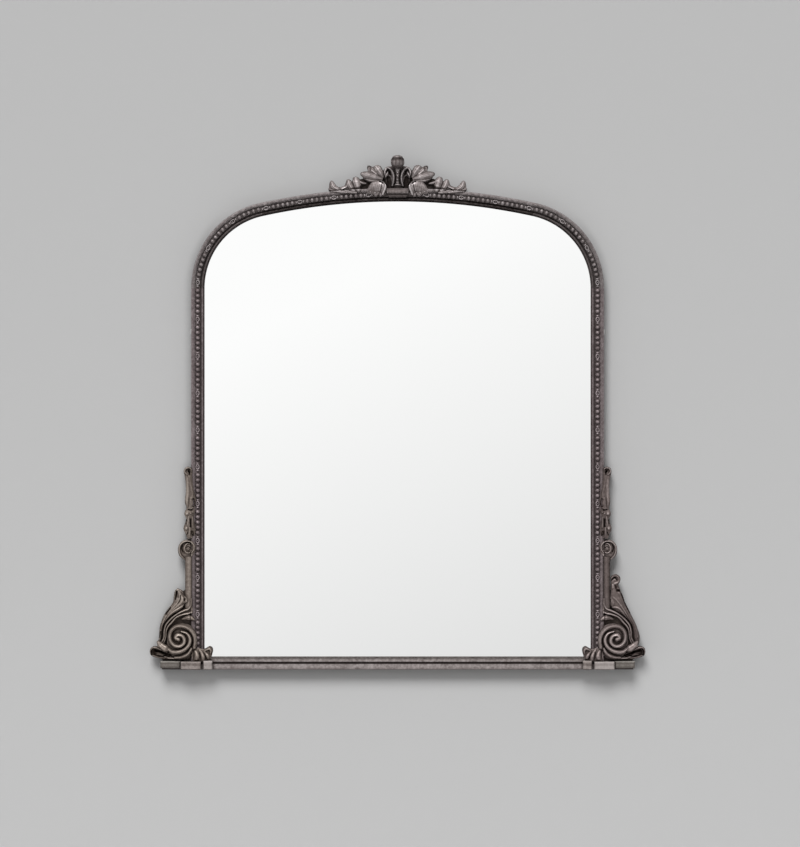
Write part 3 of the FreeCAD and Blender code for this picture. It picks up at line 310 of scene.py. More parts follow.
def levelRelief(level):
    # one level all over, broken up by slow noise so that the wash gathers unevenly
    def build(tree):
        noise = addNoise(tree, objectPlace(tree), silver["slowScale"])
        uneven = doMath(tree, "MULTIPLY", noise, silver["slowShare"])
        return doMath(tree, "ADD", uneven, level - silver["slowShare"] / 2)
    return build


footSteps = {
    # height above the underside in mm and relief there; the three plinth tables rise to the top,
    # painted lighter on top where light from above falls and darker at the foot as shade
    "span": 34,
    "rail": ((0, 0.34), (2, 0.58), (8, 0.68), (12.5, 0.60), (13.5, 0.25), (17.5, 0.23),
             (18.5, 0.58), (22, 0.66), (24.6, 0.52), (25.4, 0.18), (29, 0.16), (31, 0.12)),
    "outer": ((0, 0.20), (2.6, 0.28), (4.6, 0.48), (9, 0.46), (11, 0.60), (13.5, 0.42), (16.5, 0.48),
              (18.2, 0.74), (21, 0.76)),
    "dark": ((0, 0.44), (3.4, 0.68), (8, 0.66), (10.5, 0.50), (14.5, 0.52), (17.4, 0.72), (21, 0.78)),
    "worn": ((0, 0.60), (3.4, 0.82), (8, 0.80), (10.5, 0.68), (14.5, 0.72), (17.4, 0.90), (21, 0.94)),
}


def heightRelief(label):
    # relief read from the height: grooves and slopes are low, fillets and bands stand out
    def build(tree):
        up = addNode(tree, "ShaderNodeSeparateXYZ", {"Vector": objectPlace(tree)}).outputs["Z"]
        share = doMath(tree, "DIVIDE", up, footSteps["span"] * mm, clamp=True)
        ramp = addNode(tree, "ShaderNodeValToRGB", {"Fac": share})
        stops = ramp.color_ramp.elements
        while len(stops) < len(footSteps[label]):
            stops.new(0.5)
        for stop, (height, level) in zip(stops, footSteps[label]):
            stop.position = height / footSteps["span"]
            stop.color = (level, level, level, 1)
        return ramp.outputs["Color"]
    return build


def makeSilver(label, reliefFrom=attributeRelief, wear=0.5, wash=1.3, tint=(1, 1, 1), grain=1.0):
    # the worn silver finish of one kind of piece; reliefFrom adds the nodes that give the relief
    material, tree, shader = newMaterial(f"worn silver {label}", metallic=silver["metallic"])
    values = {"Relief": reliefFrom(tree), "Wear": wear, "Wash": wash, "Grain": grain}
    for name in ("Recess", "Middle", "Raised"):
        values[name] = (*(part * share for part, share in zip(silver[name.lower()], tint)), 1)
    finish = addNode(tree, "ShaderNodeGroup", values, node_tree=silverGroup).outputs
    for result, socket in (("Color", "Base Color"), ("Roughness", "Roughness"),
                           ("Gloss", "Specular IOR Level")):
        tree.links.new(finish[result], shader.inputs[socket])
    roughen(tree, shader, finish["Height"], silver["bumpStrength"], silver["bumpHeight"])
    return material


warmTint = (1, 0.93, 0.86)
stileTint = (1, 0.93, 1.02)
archTint = (1, 0.99, 1.06)
silverCrest = makeSilver("crest", wear=0.42, tint=(1, 0.985, 1.04))
silverLeft = makeSilver("left", wear=0.18, wash=1.1, tint=warmTint)
silverRight = makeSilver("right", wear=0.18, wash=1.1, tint=(1, 0.92, 0.94))
silverStile = makeSilver("stile", wear=0.4, wash=0.3, tint=stileTint)
silverArch = makeSilver("arch", wear=0.4, wash=0.3, tint=archTint)
silverStilePearls = makeSilver("stile pearls", wear=0.4, wash=0.5, tint=stileTint)
silverArchPearls = makeSilver("arch pearls", wear=0.4, wash=0.5, tint=archTint)
silverDarkPlinth = makeSilver("dark plinth", heightRelief("dark"), wear=0.3, wash=0.9, tint=(1, 0.96, 0.96))
silverWornPlinth = makeSilver("bright plinth", heightRelief("worn"), wear=0.35, grain=0.7, tint=(1, 0.98, 1))
silverOuterPlinth = makeSilver("outer plinth", heightRelief("outer"), wear=0.3, grain=0.8,
                               tint=(0.97, 1, 0.98))
# the crest board is painted almost black: painted shade for the dark behind the crest's open work
shadedCrestBoard = makeSilver("crest board in painted shade", levelRelief(0.06))
silverWingBoard = makeSilver("wing board", levelRelief(0.34), wash=0.6, tint=warmTint)
silverRail = makeSilver("rail", heightRelief("rail"), wear=0.5, tint=(1, 0.98, 1.02))


glass = {"color": (0.985, 0.99, 0.985, 1), "hazeScale": 9, "hazeDetail": 3, "roughness": (0.006, 0.016)}


def makeMirrorGlass():
    # silvered glass: a near perfect mirror with the faint green cast of its glass
    material, tree, shader = newMaterial("mirror glass", glass["color"], metallic=1)
    haze = addNoise(tree, objectPlace(tree), glass["hazeScale"], glass["hazeDetail"])
    tree.links.new(remap(tree, haze, 0, 1, *glass["roughness"]), shader.inputs["Roughness"])
    return material


board = {
    "dark": (0.16, 0.085, 0.040, 1), "light": (0.42, 0.255, 0.135, 1), "fleck": (0.22, 0.125, 0.060, 1),
    "fibreStretch": (1, 1, 3), "fibreScale": 420, "fibreDetail": 6, "fibreTwist": 1.5,
    "fleckScale": 14, "fleckDetail": 3, "fleckShare": 0.5,
    "roughness": 0.82, "bumpStrength": 0.3, "bumpHeight": 0.3 * mm,
}


def makeBoard():
    # hardboard: brown felted fibres, short and crossing, with darker flecks
    material, tree, shader = newMaterial("hardboard", roughness=board["roughness"])
    place = objectPlace(tree)
    fibre = addNoise(tree, stretched(tree, place, board["fibreStretch"]), board["fibreScale"],
                     board["fibreDetail"], board["fibreTwist"])
    flecks = addNoise(tree, place, board["fleckScale"], board["fleckDetail"])
    felt = mixColors(tree, fibre, board["dark"], board["light"])
    color = mixColors(tree, doMath(tree, "MULTIPLY", flecks, board["fleckShare"]), felt, board["fleck"])
    tree.links.new(color, shader.inputs["Base Color"])
    roughen(tree, shader, fibre, board["bumpStrength"], board["bumpHeight"])
    return material


zinc = {
    "dark": (0.46, 0.46, 0.45, 1), "light": (0.66, 0.66, 0.64, 1), "crystalScale": 420,
    "scratchStretch": (1, 1, 0.06), "scratchScale": 2600, "roughness": (0.24, 0.46),
}


def makeSteel():
    # bright zinc plate: crystalline patches that differ in tone, and fine scratches in gloss
    material, tree, shader = newMaterial("zinc plated steel", metallic=1)
    place = objectPlace(tree)
    crystals = addNode(tree, "ShaderNodeTexVoronoi", {"Vector": place, "Scale": zinc["crystalScale"]})
    tone = addNode(tree, "ShaderNodeSeparateColor", {"Color": crystals.outputs["Color"]}).outputs["Red"]
    tree.links.new(mixColors(tree, tone, zinc["dark"], zinc["light"]), shader.inputs["Base Color"])
    scratch = addNoise(tree, stretched(tree, place, zinc["scratchStretch"]), zinc["scratchScale"])
    tree.links.new(remap(tree, scratch, 0, 1, *zinc["roughness"]), shader.inputs["Roughness"])
    return material


blackRubber = {
    "clean": (0.018, 0.018, 0.019, 1), "dusty": (0.068, 0.068, 0.069, 1),
    "dustScale": 60, "dustDetail": 4, "dustShare": 0.6, "grainScale": 900,
    "roughness": 0.72, "bumpStrength": 0.2, "bumpHeight": 0.2 * mm,
}


def makeRubber():
    # matt rubber with a fine grain and a little dust on it
    material, tree, shader = newMaterial("black rubber", roughness=blackRubber["roughness"])
    place = objectPlace(tree)
    dust = addNoise(tree, place, blackRubber["dustScale"], blackRubber["dustDetail"])
    dust = doMath(tree, "MULTIPLY", dust, blackRubber["dustShare"])
    color = mixColors(tree, dust, blackRubber["clean"], blackRubber["dusty"])
    tree.links.new(color, shader.inputs["Base Color"])
    grain = addNoise(tree, place, blackRubber["grainScale"])
    roughen(tree, shader, grain, blackRubber["bumpStrength"], blackRubber["bumpHeight"])
    return material


dowelWood = {
    "dark": (0.40, 0.24, 0.13, 1), "light": (0.62, 0.42, 0.25, 1),
    "grainStretch": (1, 1, 0.08), "grainScale": 700, "grainDetail": 4, "roughness": 0.6,
}


def makeBeech():
    # pale beech with long, streaky grain
    material, tree, shader = newMaterial("beech", roughness=dowelWood["roughness"])
    along = stretched(tree, objectPlace(tree), dowelWood["grainStretch"])
    grain = addNoise(tree, along, dowelWood["grainScale"], dowelWood["grainDetail"])
    color = mixColors(tree, grain, dowelWood["dark"], dowelWood["light"])
    tree.links.new(color, shader.inputs["Base Color"])
    return material


print("materials ready")


# Moulding

moulding = {
    "bandWidth": 9.6, "bandEdge": 26.2, "bandTop": 30, "bandPoints": 13,
    "bedEnd": 20.4, "bedDepth": 22,
    "channelEnd": 23.6, "channelDepth": 18,
    "filletEnd": 27.8, "filletTop": 23.5, "filletPoints": 7,
    "sightDepth": 16, "rebateWidth": 9, "rebateDepth": 12,
    "edgeCut": 0.4, "sharpDegrees": 30,
    "straightCosine": -0.85,  # of the angle between two sides, below which their corner isn't cut
    "knurlAlong": 4.8, "knurlAcross": 3.8, "knurlHeight": 0.5, "knurlMargin": 0.9, "knurlRelief": 0.36,
    "rowLength": 1.1,
    # relief at distances from the outer edge, and below a depth at the back; the band's inner wall,
    # from 9.2 to 9.9, is painted lighter to hide the shade of the valley beside the pearls
    "reliefPlaces": (0, 1.2, 5, 9.2, 9.9, 20.1, 20.6, 23.4, 23.8, 25.7, 27.6, 28.2, 31),
    "reliefs": (0.60, 0.62, 0.51, 0.66, 0.62, 0.34, 0.34, 0.34, 0.46, 0.58, 0.44, 0.24, 0.24),
    "backDepth": 12.5, "backRelief": 0.25,
    # share of that relief that is left on the channel, the fillet and the lip; the lower shares on
    # the shoulders and the crown paint shade onto these inner parts, which face down there
    "innerShadeShares": {"stile": 1.0, "shoulder": 0.65, "crown_rail": 0.2},
}


def arcRow(start, end, edge, top, count):
    # a rounded stretch of the section, as a parabola from edge to edge
    t = np.linspace(0, 1, count)
    return np.stack([start + (end - start) * t, edge + (top - edge) * 4 * t * (1 - t)], 1)


def softened(section, cut):
    # each sharp corner of a closed section becomes two points, a cut away from it on either side
    before = np.roll(section, 1, 0) - section
    after = np.roll(section, -1, 0) - section
    before /= np.linalg.norm(before, axis=1)[:, None]
    after /= np.linalg.norm(after, axis=1)[:, None]
    sharp = (before * after).sum(1) > moulding["straightCosine"]
    points = np.stack([section + before * cut, section + after * cut], 1)
    points[~sharp] = section[~sharp][:, None]
    keep = np.stack([np.ones_like(sharp), sharp], 1)
    return points[keep]


def mouldingSection():
    # the closed outline of the moulding as insets from its outer edge and depths, in mm
    m = moulding
    width = sectionWidth / mm
    band = arcRow(0, m["bandWidth"], m["bandEdge"], m["bandTop"], m["bandPoints"])
    fillet = arcRow(m["channelEnd"], m["filletEnd"], m["bedDepth"], m["filletTop"], m["filletPoints"])
    corners = [band, [(m["bandWidth"], m["bedDepth"]), (m["bedEnd"], m["bedDepth"]),
                      (m["bedEnd"], m["channelDepth"]), (m["channelEnd"], m["channelDepth"])],
               fillet, [(m["filletEnd"], m["sightDepth"]), (width, m["sightDepth"]),
                        (width, m["rebateDepth"]), (width - m["rebateWidth"], m["rebateDepth"]),
                        (width - m["rebateWidth"], 0), (0, 0)]]
    return softened(np.vstack([np.array(part, float) for part in corners]), m["edgeCut"])


def stilePath(shares, low=stileLow.z):
    # the outer edge of the stile, straight up to the shoulder
    up = low + (springHeight - low) * shares
    outer = np.stack([np.full_like(up, halfFrame), up], 1)
    return outer, np.tile([-1.0, 0.0], (len(shares), 1)), springHeight - low


def sightPath(shares):
    # the part of the stile's outer edge that is beside the glass
    return stilePath(shares, sightBottom)


def arcPath(middle, sightRadius, start, turn, shares):
    # the outer edge of an arc round its middle, from its start through its turn
    radius = sightRadius + sectionWidth
    angle = start + turn * shares
    outward = np.stack([np.cos(angle), np.sin(angle)], 1)
    return np.array(middle) + outward * radius, -outward, radius * turn


def shoulderPath(shares):
    # an arc from the stile up to where the crown begins
    return arcPath((shoulderX, springHeight), arch["shoulderRadius"], 0, math.pi / 2 - crownTurn, shares)


def crownPath(shares):
    # a flat arc from its right end over to its left end
    return arcPath((0.0, crownZ), arch["crownRadius"], math.pi / 2 - crownTurn, 2 * crownTurn, shares)


def carrySection(outer, inward, inset, depth):
    # points of a section, given by insets and depths in metres, at every row of a path
    flat = outer[:, None] + inward[:, None] * inset[None, :, None]
    deep = np.broadcast_to(depth, flat.shape[:2])
    return np.stack([flat[..., 0], frameBack - deep, flat[..., 1]], -1)


def makeMoulding(name, path, side, innerShadeShare):
    # the section carried along the path; the outer band is matted with small raised diamonds,
    # the product of two slanting waves, and the relief follows the parts of the section
    length = path(np.zeros(1))[2]
    rows = int(length / (moulding["rowLength"] * mm))
    shares = np.linspace(0, 1, rows)
    outer, inward, _ = path(shares)
    section = mouldingSection()
    inset, depth = section.T
    turns = (shares * length / mm)[:, None] / moulding["knurlAlong"]
    slant = inset / moulding["knurlAcross"]
    margin = moulding["knurlMargin"]
    onBand = (inset > margin) & (inset < moulding["bandWidth"] - margin) & (depth > moulding["bandEdge"])
    knurl = np.sin(2 * math.pi * (turns + slant)) * np.sin(2 * math.pi * (turns - slant)) * onBand
    knurl[[0, -1]] = 0
    rings = carrySection(outer, inward, inset * mm, (depth + knurl * moulding["knurlHeight"]) * mm)
    rings[..., 0] *= side
    level = np.interp(inset, moulding["reliefPlaces"], moulding["reliefs"])
    level = np.where(inset > moulding["bedEnd"], level * innerShadeShare, level)
    level = np.where(depth < moulding["backDepth"], moulding["backRelief"], level)
    columns = len(section)
    return makeMesh(name, rings, gridFaces(rows, columns, True), level + moulding["knurlRelief"] * knurl,
                    endCaps(rows, columns), moulding["sharpDegrees"])


for label, path, finish in (("stile", stilePath, silverStile), ("shoulder", shoulderPath, silverArch)):
    for sideName, side in sides:
        piece = makeMoulding(f"{sideName}_{label}_moulding", path, side, moulding["innerShadeShares"][label])
        settle(piece, finish, f"{sideName}_{label}")
piece = makeMoulding("crown_rail_moulding", crownPath, 1, moulding["innerShadeShares"]["crown_rail"])
settle(piece, silverArch, "crown_rail")
print("moulding done")


# Pearls and links

beads = {
    "pearlLength": 9.5, "pearlPitch": 12.5, "pearlsInGroup": 5, "pearlWiden": 1.12, "pearlGrid": (9, 14),
    "linkSpace": 26.5, "linkLength": 21, "linkWidth": 10.2, "linkWire": 1.35, "linkStand": 2.6,
    "eyeShares": (0.47, 0.9), "eyeWave": 0.06, "eyeGrid": (26, 8),
    "pupil": (1.6, 1.3, 2.6), "pupilGrid": (6, 9),
    "huskShares": (0.19, 0.66), "huskRise": 2.8, "huskPlaceShare": 0.82, "huskGrid": (7, 9),
    "inset": 15, "pathSteps": 400, "sharpDegrees": 60,
    "bedNear": 9.8, "bedFar": 20.2, "bedFront": 24, "bedRows": 60,
    # relief at the bed's corners, and on pearls and links at heights above the bed; the bed's near
    # side is painted light where the band would shade it, its far side painted dark as the pearls' shade
    "bedReliefs": (0.74, 0.72, 0.24, 0.20),
    "pearlReliefs": ((0, 2.8, 7), (0.30, 0.44, 0.60)),
    "linkReliefs": ((0, 1.6, 4), (0.30, 0.44, 0.78)),
}


def beadRun(length):
    # places in mm along a strip: a link, then five pearls, evenly stretched to fill the length
    group = beads["pearlPitch"] * beads["pearlsInGroup"]
    period = group + beads["linkSpace"]
    count = max(1, round(length / period))
    stretch = length / (period * count)
    starts = period * np.arange(count)
    steps = beads["pearlPitch"] * (np.arange(beads["pearlsInGroup"]) + 0.5)
    pearls = (starts[:, None] + beads["linkSpace"] + steps).ravel() * stretch
    links = (starts + beads["linkSpace"] / 2) * stretch
    return pearls, links


def ballTemplate(grid, radii, place=0.0):
    # an ellipsoid by latitude and longitude, its pole towards the viewer
    tilt = np.linspace(0, math.pi, grid[0])[:, None]
    turn = np.linspace(0, 2 * math.pi, grid[1], endpoint=False)[None, :]
    shape = np.stack([np.sin(tilt) * np.cos(turn), np.sin(tilt) * np.sin(turn), np.cos(tilt) + 0 * turn], -1)
    return shape * np.asarray(radii, float) + [place, 0, 0], gridFaces(*grid, True)


def ringTemplate(grid, long, wide, wire, wave):
    # a tube round an oval; the oval is drawn in at its middle like a twisted ribbon
    turn = np.linspace(0, 2 * math.pi, grid[0], endpoint=False)[:, None]
    tube = np.linspace(0, 2 * math.pi, grid[1], endpoint=False)[None, :]
    reach = 1 + wave * np.cos(2 * turn)
    out = wire * np.cos(tube)
    shape = np.stack([(long * reach + out) * np.cos(turn), (wide * reach + out) * np.sin(turn),
                      wire * np.sin(tube) + 0 * turn], -1)
    return np.concatenate([shape, shape[:1]], 0), gridFaces(grid[0] + 1, grid[1], True)


def pearlTemplate():
    radius = beads["pearlLength"] / 2
    return stackShapes([ballTemplate(beads["pearlGrid"], (radius, radius * beads["pearlWiden"], radius))])


def linkTemplate():
    # an oval eye with a small pearl in it, and a husk across each end
    half = beads["linkLength"] / 2
    wide = beads["linkWidth"] / 2
    wire = beads["linkWire"]
    longShare, wireShare = beads["eyeShares"]
    eye = ringTemplate(beads["eyeGrid"], half * longShare, wide - wire * wireShare, wire, beads["eyeWave"])
    pupil = ballTemplate(beads["pupilGrid"], beads["pupil"])
    huskLong, huskWide = beads["huskShares"]
    husk = (half * huskLong, wide * huskWide, beads["huskRise"])
    husks = [ballTemplate(beads["huskGrid"], husk, half * beads["huskPlaceShare"] * end) for end in (1, -1)]
    return stackShapes([eye, pupil] + husks)


# points and faces of each, and how far its middle is in front of the frame's back
templates = {
    "pearl": (pearlTemplate(), (moulding["bedDepth"] + beads["pearlLength"] / 2) * mm),
    "link": (linkTemplate(), (beads["bedFront"] + beads["linkStand"]) * mm),
}


def placeMany(kind, middles, alongs):
    # the template at every place: its first axis lies along the strip, its third faces the front
    (points, faces), depth = templates[kind]
    across = np.stack([-alongs[:, 1], alongs[:, 0]], 1)
    flat = (middles[:, None] + alongs[:, None] * points[None, :, :1] * mm
            + across[:, None] * points[None, :, 1:2] * mm)
    deep = np.broadcast_to(depth + points[None, :, 2] * mm, flat.shape[:2])
    placed = np.stack([flat[..., 0], frameBack - deep, flat[..., 1]], -1)
    offsets = (np.arange(len(middles)) * len(points))[:, None, None]
    return placed.reshape(-1, 3), (faces[None] + offsets).reshape(-1, 4)


def stripPlaces(path, places):
    # points at distances in mm along the path's bead line, the way along there and its length
    outer, inward, _ = path(np.linspace(0, 1, beads["pathSteps"]))
    line = outer + inward * beads["inset"] * mm
    run = np.concatenate([[0], np.cumsum(np.linalg.norm(np.diff(line, axis=0), axis=1))])
    places = np.asarray(places)
    middles, ahead, back = [np.stack([np.interp(at * mm, run, line[:, axis]) for axis in (0, 1)], 1)
                            for at in (places, places + 1, places - 1)]
    alongs = ahead - back
    return middles, alongs / np.linalg.norm(alongs, axis=1)[:, None], run[-1] / mm


def stripRuns(path):
    # where pearls and links stand; on the crown they run from each end to the middle, without
    # those that the tablet would cover
    length = stripPlaces(path, [0])[2]
    onCrown = path is crownPath
    for kind, places in zip(("pearl", "link"), beadRun(length / 2 if onCrown else length)):
        if onCrown:
            places = np.concatenate([places, length - places])
        middles, alongs, _ = stripPlaces(path, places)
        if onCrown:
            inner = np.abs(middles[:, 0]) - beads[f"{kind}Length"] / 2 * mm
            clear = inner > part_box("crest_tablet")[1].x
            middles, alongs = middles[clear], alongs[clear]
        yield kind, middles, alongs


def makeStrip(name, path, side):
    # the strip's bed with its pearls and links standing on it
    outer, inward, _ = path(np.linspace(0, 1, beads["bedRows"]))
    inset = np.repeat([beads["bedNear"], beads["bedFar"]], 2) * mm
    depth = np.array([moulding["bedDepth"], beads["bedFront"], beads["bedFront"], moulding["bedDepth"]]) * mm
    rings = carrySection(outer, inward, inset, depth)
    rows, columns = rings.shape[:2]
    shapes = [(rings, gridFaces(rows, columns, True))]
    reliefs = [np.tile(beads["bedReliefs"], rows)]
    for kind, middles, alongs in stripRuns(path):
        shapes.append(placeMany(kind, middles, alongs))
        height = (frameBack - shapes[-1][0][:, 1]) / mm - beads["bedFront"]
        reliefs.append(np.interp(height, *beads[f"{kind}Reliefs"]))
    points, faces = stackShapes(shapes)
    points[:, 0] *= side
    caps = endCaps(rows, columns)
    return makeMesh(name, points, faces, np.concatenate(reliefs), caps, beads["sharpDegrees"])


for label, path, finish in (("bead_strip", sightPath, silverStilePearls),
                            ("shoulder_bead_strip", shoulderPath, silverArchPearls)):
    for sideName, side in sides:
        piece = makeStrip(f"{sideName}_{label}_pearls", path, side)
        settle(piece, finish, f"{sideName}_{label}")
piece = makeStrip("crown_bead_strip_pearls", crownPath, 1)
settle(piece, silverArchPearls, "crown_bead_strip")
print("pearls and links done")


# Castings in relief

# A casting is made of sheets and lobes. Its lines are columns and rows of the photograph. Each of
# its ridges, grooves, painted shades and painted highlights is a line with half widths in mm along
# it and heights: in mm for ridges and grooves, in shares of the relief for the painted shades and
# highlights. A single number holds all along. The painted shades darken the finish where shade
# falls, in grooves, hollows and folds, and the painted highlights lighten it where light catches.
casting = {
    "lineSteps": 150, "domesAtOnce": 30, "domePower": 0.75,
    "coverGap": 0.6, "coverFade": 1.2, "wallRelief": 0.25, "leastThickness": 1, "sharpDegrees": 50,
    "leastRoom": 0.12, "ribPower": 0.6, "ribSwell": (0.2, 0.9, 1, 1, 0.8),
    "outlineLength": 100, "outlinePoints": 80, "tipWidth": 0.15,
    "lobeRibPower": 3, "lobeRibGrowth": 4, "lobeRibStart": 0.2, "midribShare": 0.16, "rimShare": 0.25,
}
sheetLook = {
    "crownPower": 0.5, "ribs": 0, "ribDepth": 0, "ridges": (), "grooves": (),
    "washReach": 5, "washScale": 1.6, "lift": 0, "liftAcross": 0,
}
lobeLook = {
    "grid": (40, 25), "top": 52, "lobing": 0.1, "lobes": 3, "blunt": 0.3,
    "ribs": 0, "ribDepth": 0, "midrib": 0, "washReach": 4, "washScale": 0.8, "reliefLift": 0,
}
# painted shade and painted highlights are empty unless a casting lists them
bothLooks = {"back": 14, "paintedShade": (), "lights": ()}


def ridgeField(x, z, ridges, middle):
    # a ridge is a row of round domes along its line: at each point the highest of them counts
    height = np.zeros(x.shape)
    share = np.linspace(0, 1, casting["lineSteps"])
    for points, widths, heights in ridges:
        line = smoothLine(fromPhoto(points, middle), len(share))
        half = spread(widths, share) * mm
        tall = spread(heights, share) * mm
        for start in range(0, len(share), casting["domesAtOnce"]):
            part = slice(start, start + casting["domesAtOnce"])
            away = (x[..., None] - line[part, 0]) ** 2 + (z[..., None] - line[part, 1]) ** 2
            dome = tall[part] * np.clip(1 - away / half[part] ** 2, 0, None) ** casting["domePower"]
            height = np.maximum(height, dome.max(-1))
    return height


def frameCover(x, z):
    # the least depth of a casting: clear of the moulding where it lies over it, free elsewhere
    beside = halfFrame - np.abs(x)
    inArch = arch["crownRadius"] + sectionWidth - np.hypot(x, z - crownZ)
    shoulder = arch["shoulderRadius"] + sectionWidth - np.hypot(np.abs(x) - shoulderX, z - springHeight)
    inside = np.where(z < springHeight, beside, np.where(np.abs(x) > shoulderX, shoulder, inArch))
    share = np.clip(inside / (casting["coverFade"] * mm) + 1, 0, 1)
    return (moulding["bandTop"] + casting["coverGap"]) * mm * share


def keepWithin(depth, look):
    # no thinner than a casting can be and no further out than its top
    return np.clip(depth, (look["back"] + casting["leastThickness"]) * mm, look["top"] * mm)


def closeBack(x, z, depth, relief, look, middle):
    # the front of a casting, with short walls down to its flat back; on it are spots of painted
    # shade, darkened where shade falls, and spots of painted highlight, lightened where light catches
    paintedShade, lights = [ridgeField(x, z, look[spots], middle) / mm for spots in ("paintedShade", "lights")]
    front = np.stack([x, frameBack - depth, z], -1)
    wall = front[:, [-1, 0]].copy()
    wall[..., 1] = frameBack - look["back"] * mm
    shade = np.concatenate([relief - paintedShade + lights, np.full((len(relief), 2), casting["wallRelief"])], 1)
    return np.concatenate([front, wall], 1), shade


def sheetRings(look, middle):
    # A ruled surface between two edge lines. Its depth is the floor, a crown that is highest
    # midway, ribs that run across from edge to edge, the ridges and, taken away, the grooves.
    # The lifts are painted light and shade: they make its finish lighter or darker along the sheet
    # and across it.
    rows, columns = look["grid"]
    first, second = [smoothLine(fromPhoto(look[edge], middle), rows) for edge in ("firstEdge", "secondEdge")]
    along = np.linspace(0, 1, rows)[:, None]
    across = (1 - np.cos(np.linspace(0, math.pi, columns)))[None, :] / 2
    flat = first[:, None] * (1 - across)[..., None] + second[:, None] * across[..., None]
    x, z = flat[..., 0], flat[..., 1]
    rise = (4 * across * (1 - across)) ** look["crownPower"]
    rib = np.abs(np.sin(math.pi * look["ribs"] * along)) ** casting["ribPower"]
    depth = (spread(look["floor"], along) + spread(look["crown"], along) * rise
             + look["ribDepth"] * rib * spread(casting["ribSwell"], across)) * mm
    depth = np.maximum(depth, frameCover(x, z))
    top = look["top"] * mm
    room = np.clip((top - depth) / (top - np.min(look["floor"]) * mm), casting["leastRoom"], 1)
    depth = depth + ridgeField(x, z, look["ridges"], middle) * room
    depth = depth - ridgeField(x, z, look["grooves"], middle)
    depth = keepWithin(depth, look)
    relief = reliefShare(depth, look["washReach"], look["washScale"] * mm)
    relief = relief + spread(look["lift"], along) + spread(look["liftAcross"], across)
    return closeBack(x, z, depth, relief, look, middle)


def lobeRings(look, middle):
    # A leaf lobe about its spine, with a lobed edge and a tip rounded like an ellipse. Its depth
    # is a rounded swell with furrows along it and the midrib.
    rows, columns = look["grid"]
    spine = smoothLine(fromPhoto(look["spine"], middle), rows)
    way = np.gradient(spine, axis=0)
    way /= np.linalg.norm(way, axis=1)[:, None]
    beside = np.stack([-way[:, 1], way[:, 0]], 1)
    along = np.linspace(0, 1, rows)[:, None]
    places = np.linspace(0, casting["outlineLength"], len(look["widths"]))
    outline = smoothLine(np.stack([places, look["widths"]], 1), casting["outlinePoints"])
    half = np.interp(along, outline[:, 0] / casting["outlineLength"], outline[:, 1])
    half = half * (1 - look["lobing"] * np.abs(np.cos(math.pi * look["lobes"] * along)))
    tip = np.clip((along - 1 + look["blunt"]) / look["blunt"], 0, 1)
    half = np.maximum(half * np.sqrt(1 - tip ** 2), casting["tipWidth"]) * photo["pixel"]
    share = -np.cos(np.linspace(0, math.pi, columns))[None, :]
    flat = spine[:, None] + beside[:, None] * (half * share)[..., None]
    x, z = flat[..., 0], flat[..., 1]
    rise = spread(look["rise"], along)
    furrow = np.abs(np.cos(math.pi * look["ribs"] * (share + 1) / 2)) ** casting["lobeRibPower"]
    furrow = furrow * np.clip(casting["lobeRibGrowth"] * along, casting["lobeRibStart"], 1)
    midrib = np.exp(-(share / casting["midribShare"]) ** 2) * np.sqrt(np.sin(math.pi * along))
    depth = (spread(look["floor"], along) + rise * np.sqrt(1 - share ** 2)
             - look["ribDepth"] * furrow + look["midrib"] * midrib) * mm
    depth = np.maximum(depth, frameCover(x, z) + rise * mm * (1 - share ** 2))
    depth = keepWithin(depth, look)
    relief = reliefShare(depth, look["washReach"], look["washScale"] * mm)
    rim = casting["rimShare"]
    # reliefLift is painted light and shade: it makes the whole lobe lighter or darker
    relief = (1 - rim) * relief + rim * (1 - np.abs(share)) + look["reliefLift"]
    return closeBack(x, z, depth, relief, look, middle)


def makeCasting(name, parts, middle, turned=False, lift=0.0):
    # the sheets and lobes of one casting as one mesh, turned over for the side it isn't drawn on
    shapes, shades, caps, count = [], [], [], 0
    for look in parts:
        build, base = (lobeRings, lobeLook) if "spine" in look else (sheetRings, sheetLook)
        rings, shade = build({**bothLooks, **base, **look}, middle)
        rows, columns = rings.shape[:2]
        shapes.append((rings, gridFaces(rows, columns, True)))
        shades.append(shade.ravel() + lift)
        caps += endCaps(rows, columns, count)
        count += rows * columns
    points, faces = stackShapes(shapes)
    points[:, 0] *= -1 if turned else 1
    return makeMesh(name, points, faces, np.concatenate(shades), caps, casting["sharpDegrees"])


volute = ({
    "grid": (190, 120), "floor": 30, "top": 52, "crown": (0, 4, 6, 4, 0), "crownPower": 1,
    "firstEdge": ((182, 623.2), (174.5, 625.4), (169.3, 630.5), (167.6, 637), (167.6, 645),
                  (169.7, 652.2), (174.3, 657.4), (180, 659.4)),
    "secondEdge": ((182, 623.2), (189.5, 625.2), (194.8, 630.4), (197.2, 638), (197.2, 645),
                   (194, 651.4), (188.5, 657), (180, 659.4)),
    "ridges": (
        (((178.6, 639), (176.2, 637.8), (177.6, 635.2), (181.4, 635.4), (184.2, 638.4), (184.2, 643),
          (180.6, 646), (175.2, 645.6), (171.3, 642), (169.9, 636.4), (171.6, 630.4), (175.7, 626.9),
          (180.9, 625.9), (186.4, 627.2), (191.3, 630.7), (194.4, 635.9), (195.3, 641.6), (194.6, 647.4)),
         (6.4, 5.4, 5.3, 5.4, 5.7, 5.7, 5.8), (17, 16, 15, 15, 15, 15, 13)),
        (((181.5, 631.4), (187.6, 633.8), (190.5, 639.2), (189, 645), (184.4, 649.6), (178.2, 652),
          (171.6, 651.6), (168.5, 649.5)), (3, 5.6, 6, 6.2, 5.6), (8, 13, 14, 14, 11)),
        (((191.6, 648.6), (188.3, 653.9), (182, 657.2), (175, 657.9)), (4.2, 5.2, 4.2), (10, 12, 9)),
    ),
    # a painted highlight at the eye of the spiral
    "lights": ((((178.4, 636), (179.4, 635.6)), 4, 0.3),),
    "washScale": 3.6, "washReach": 7, "lift": 0.02,
},)
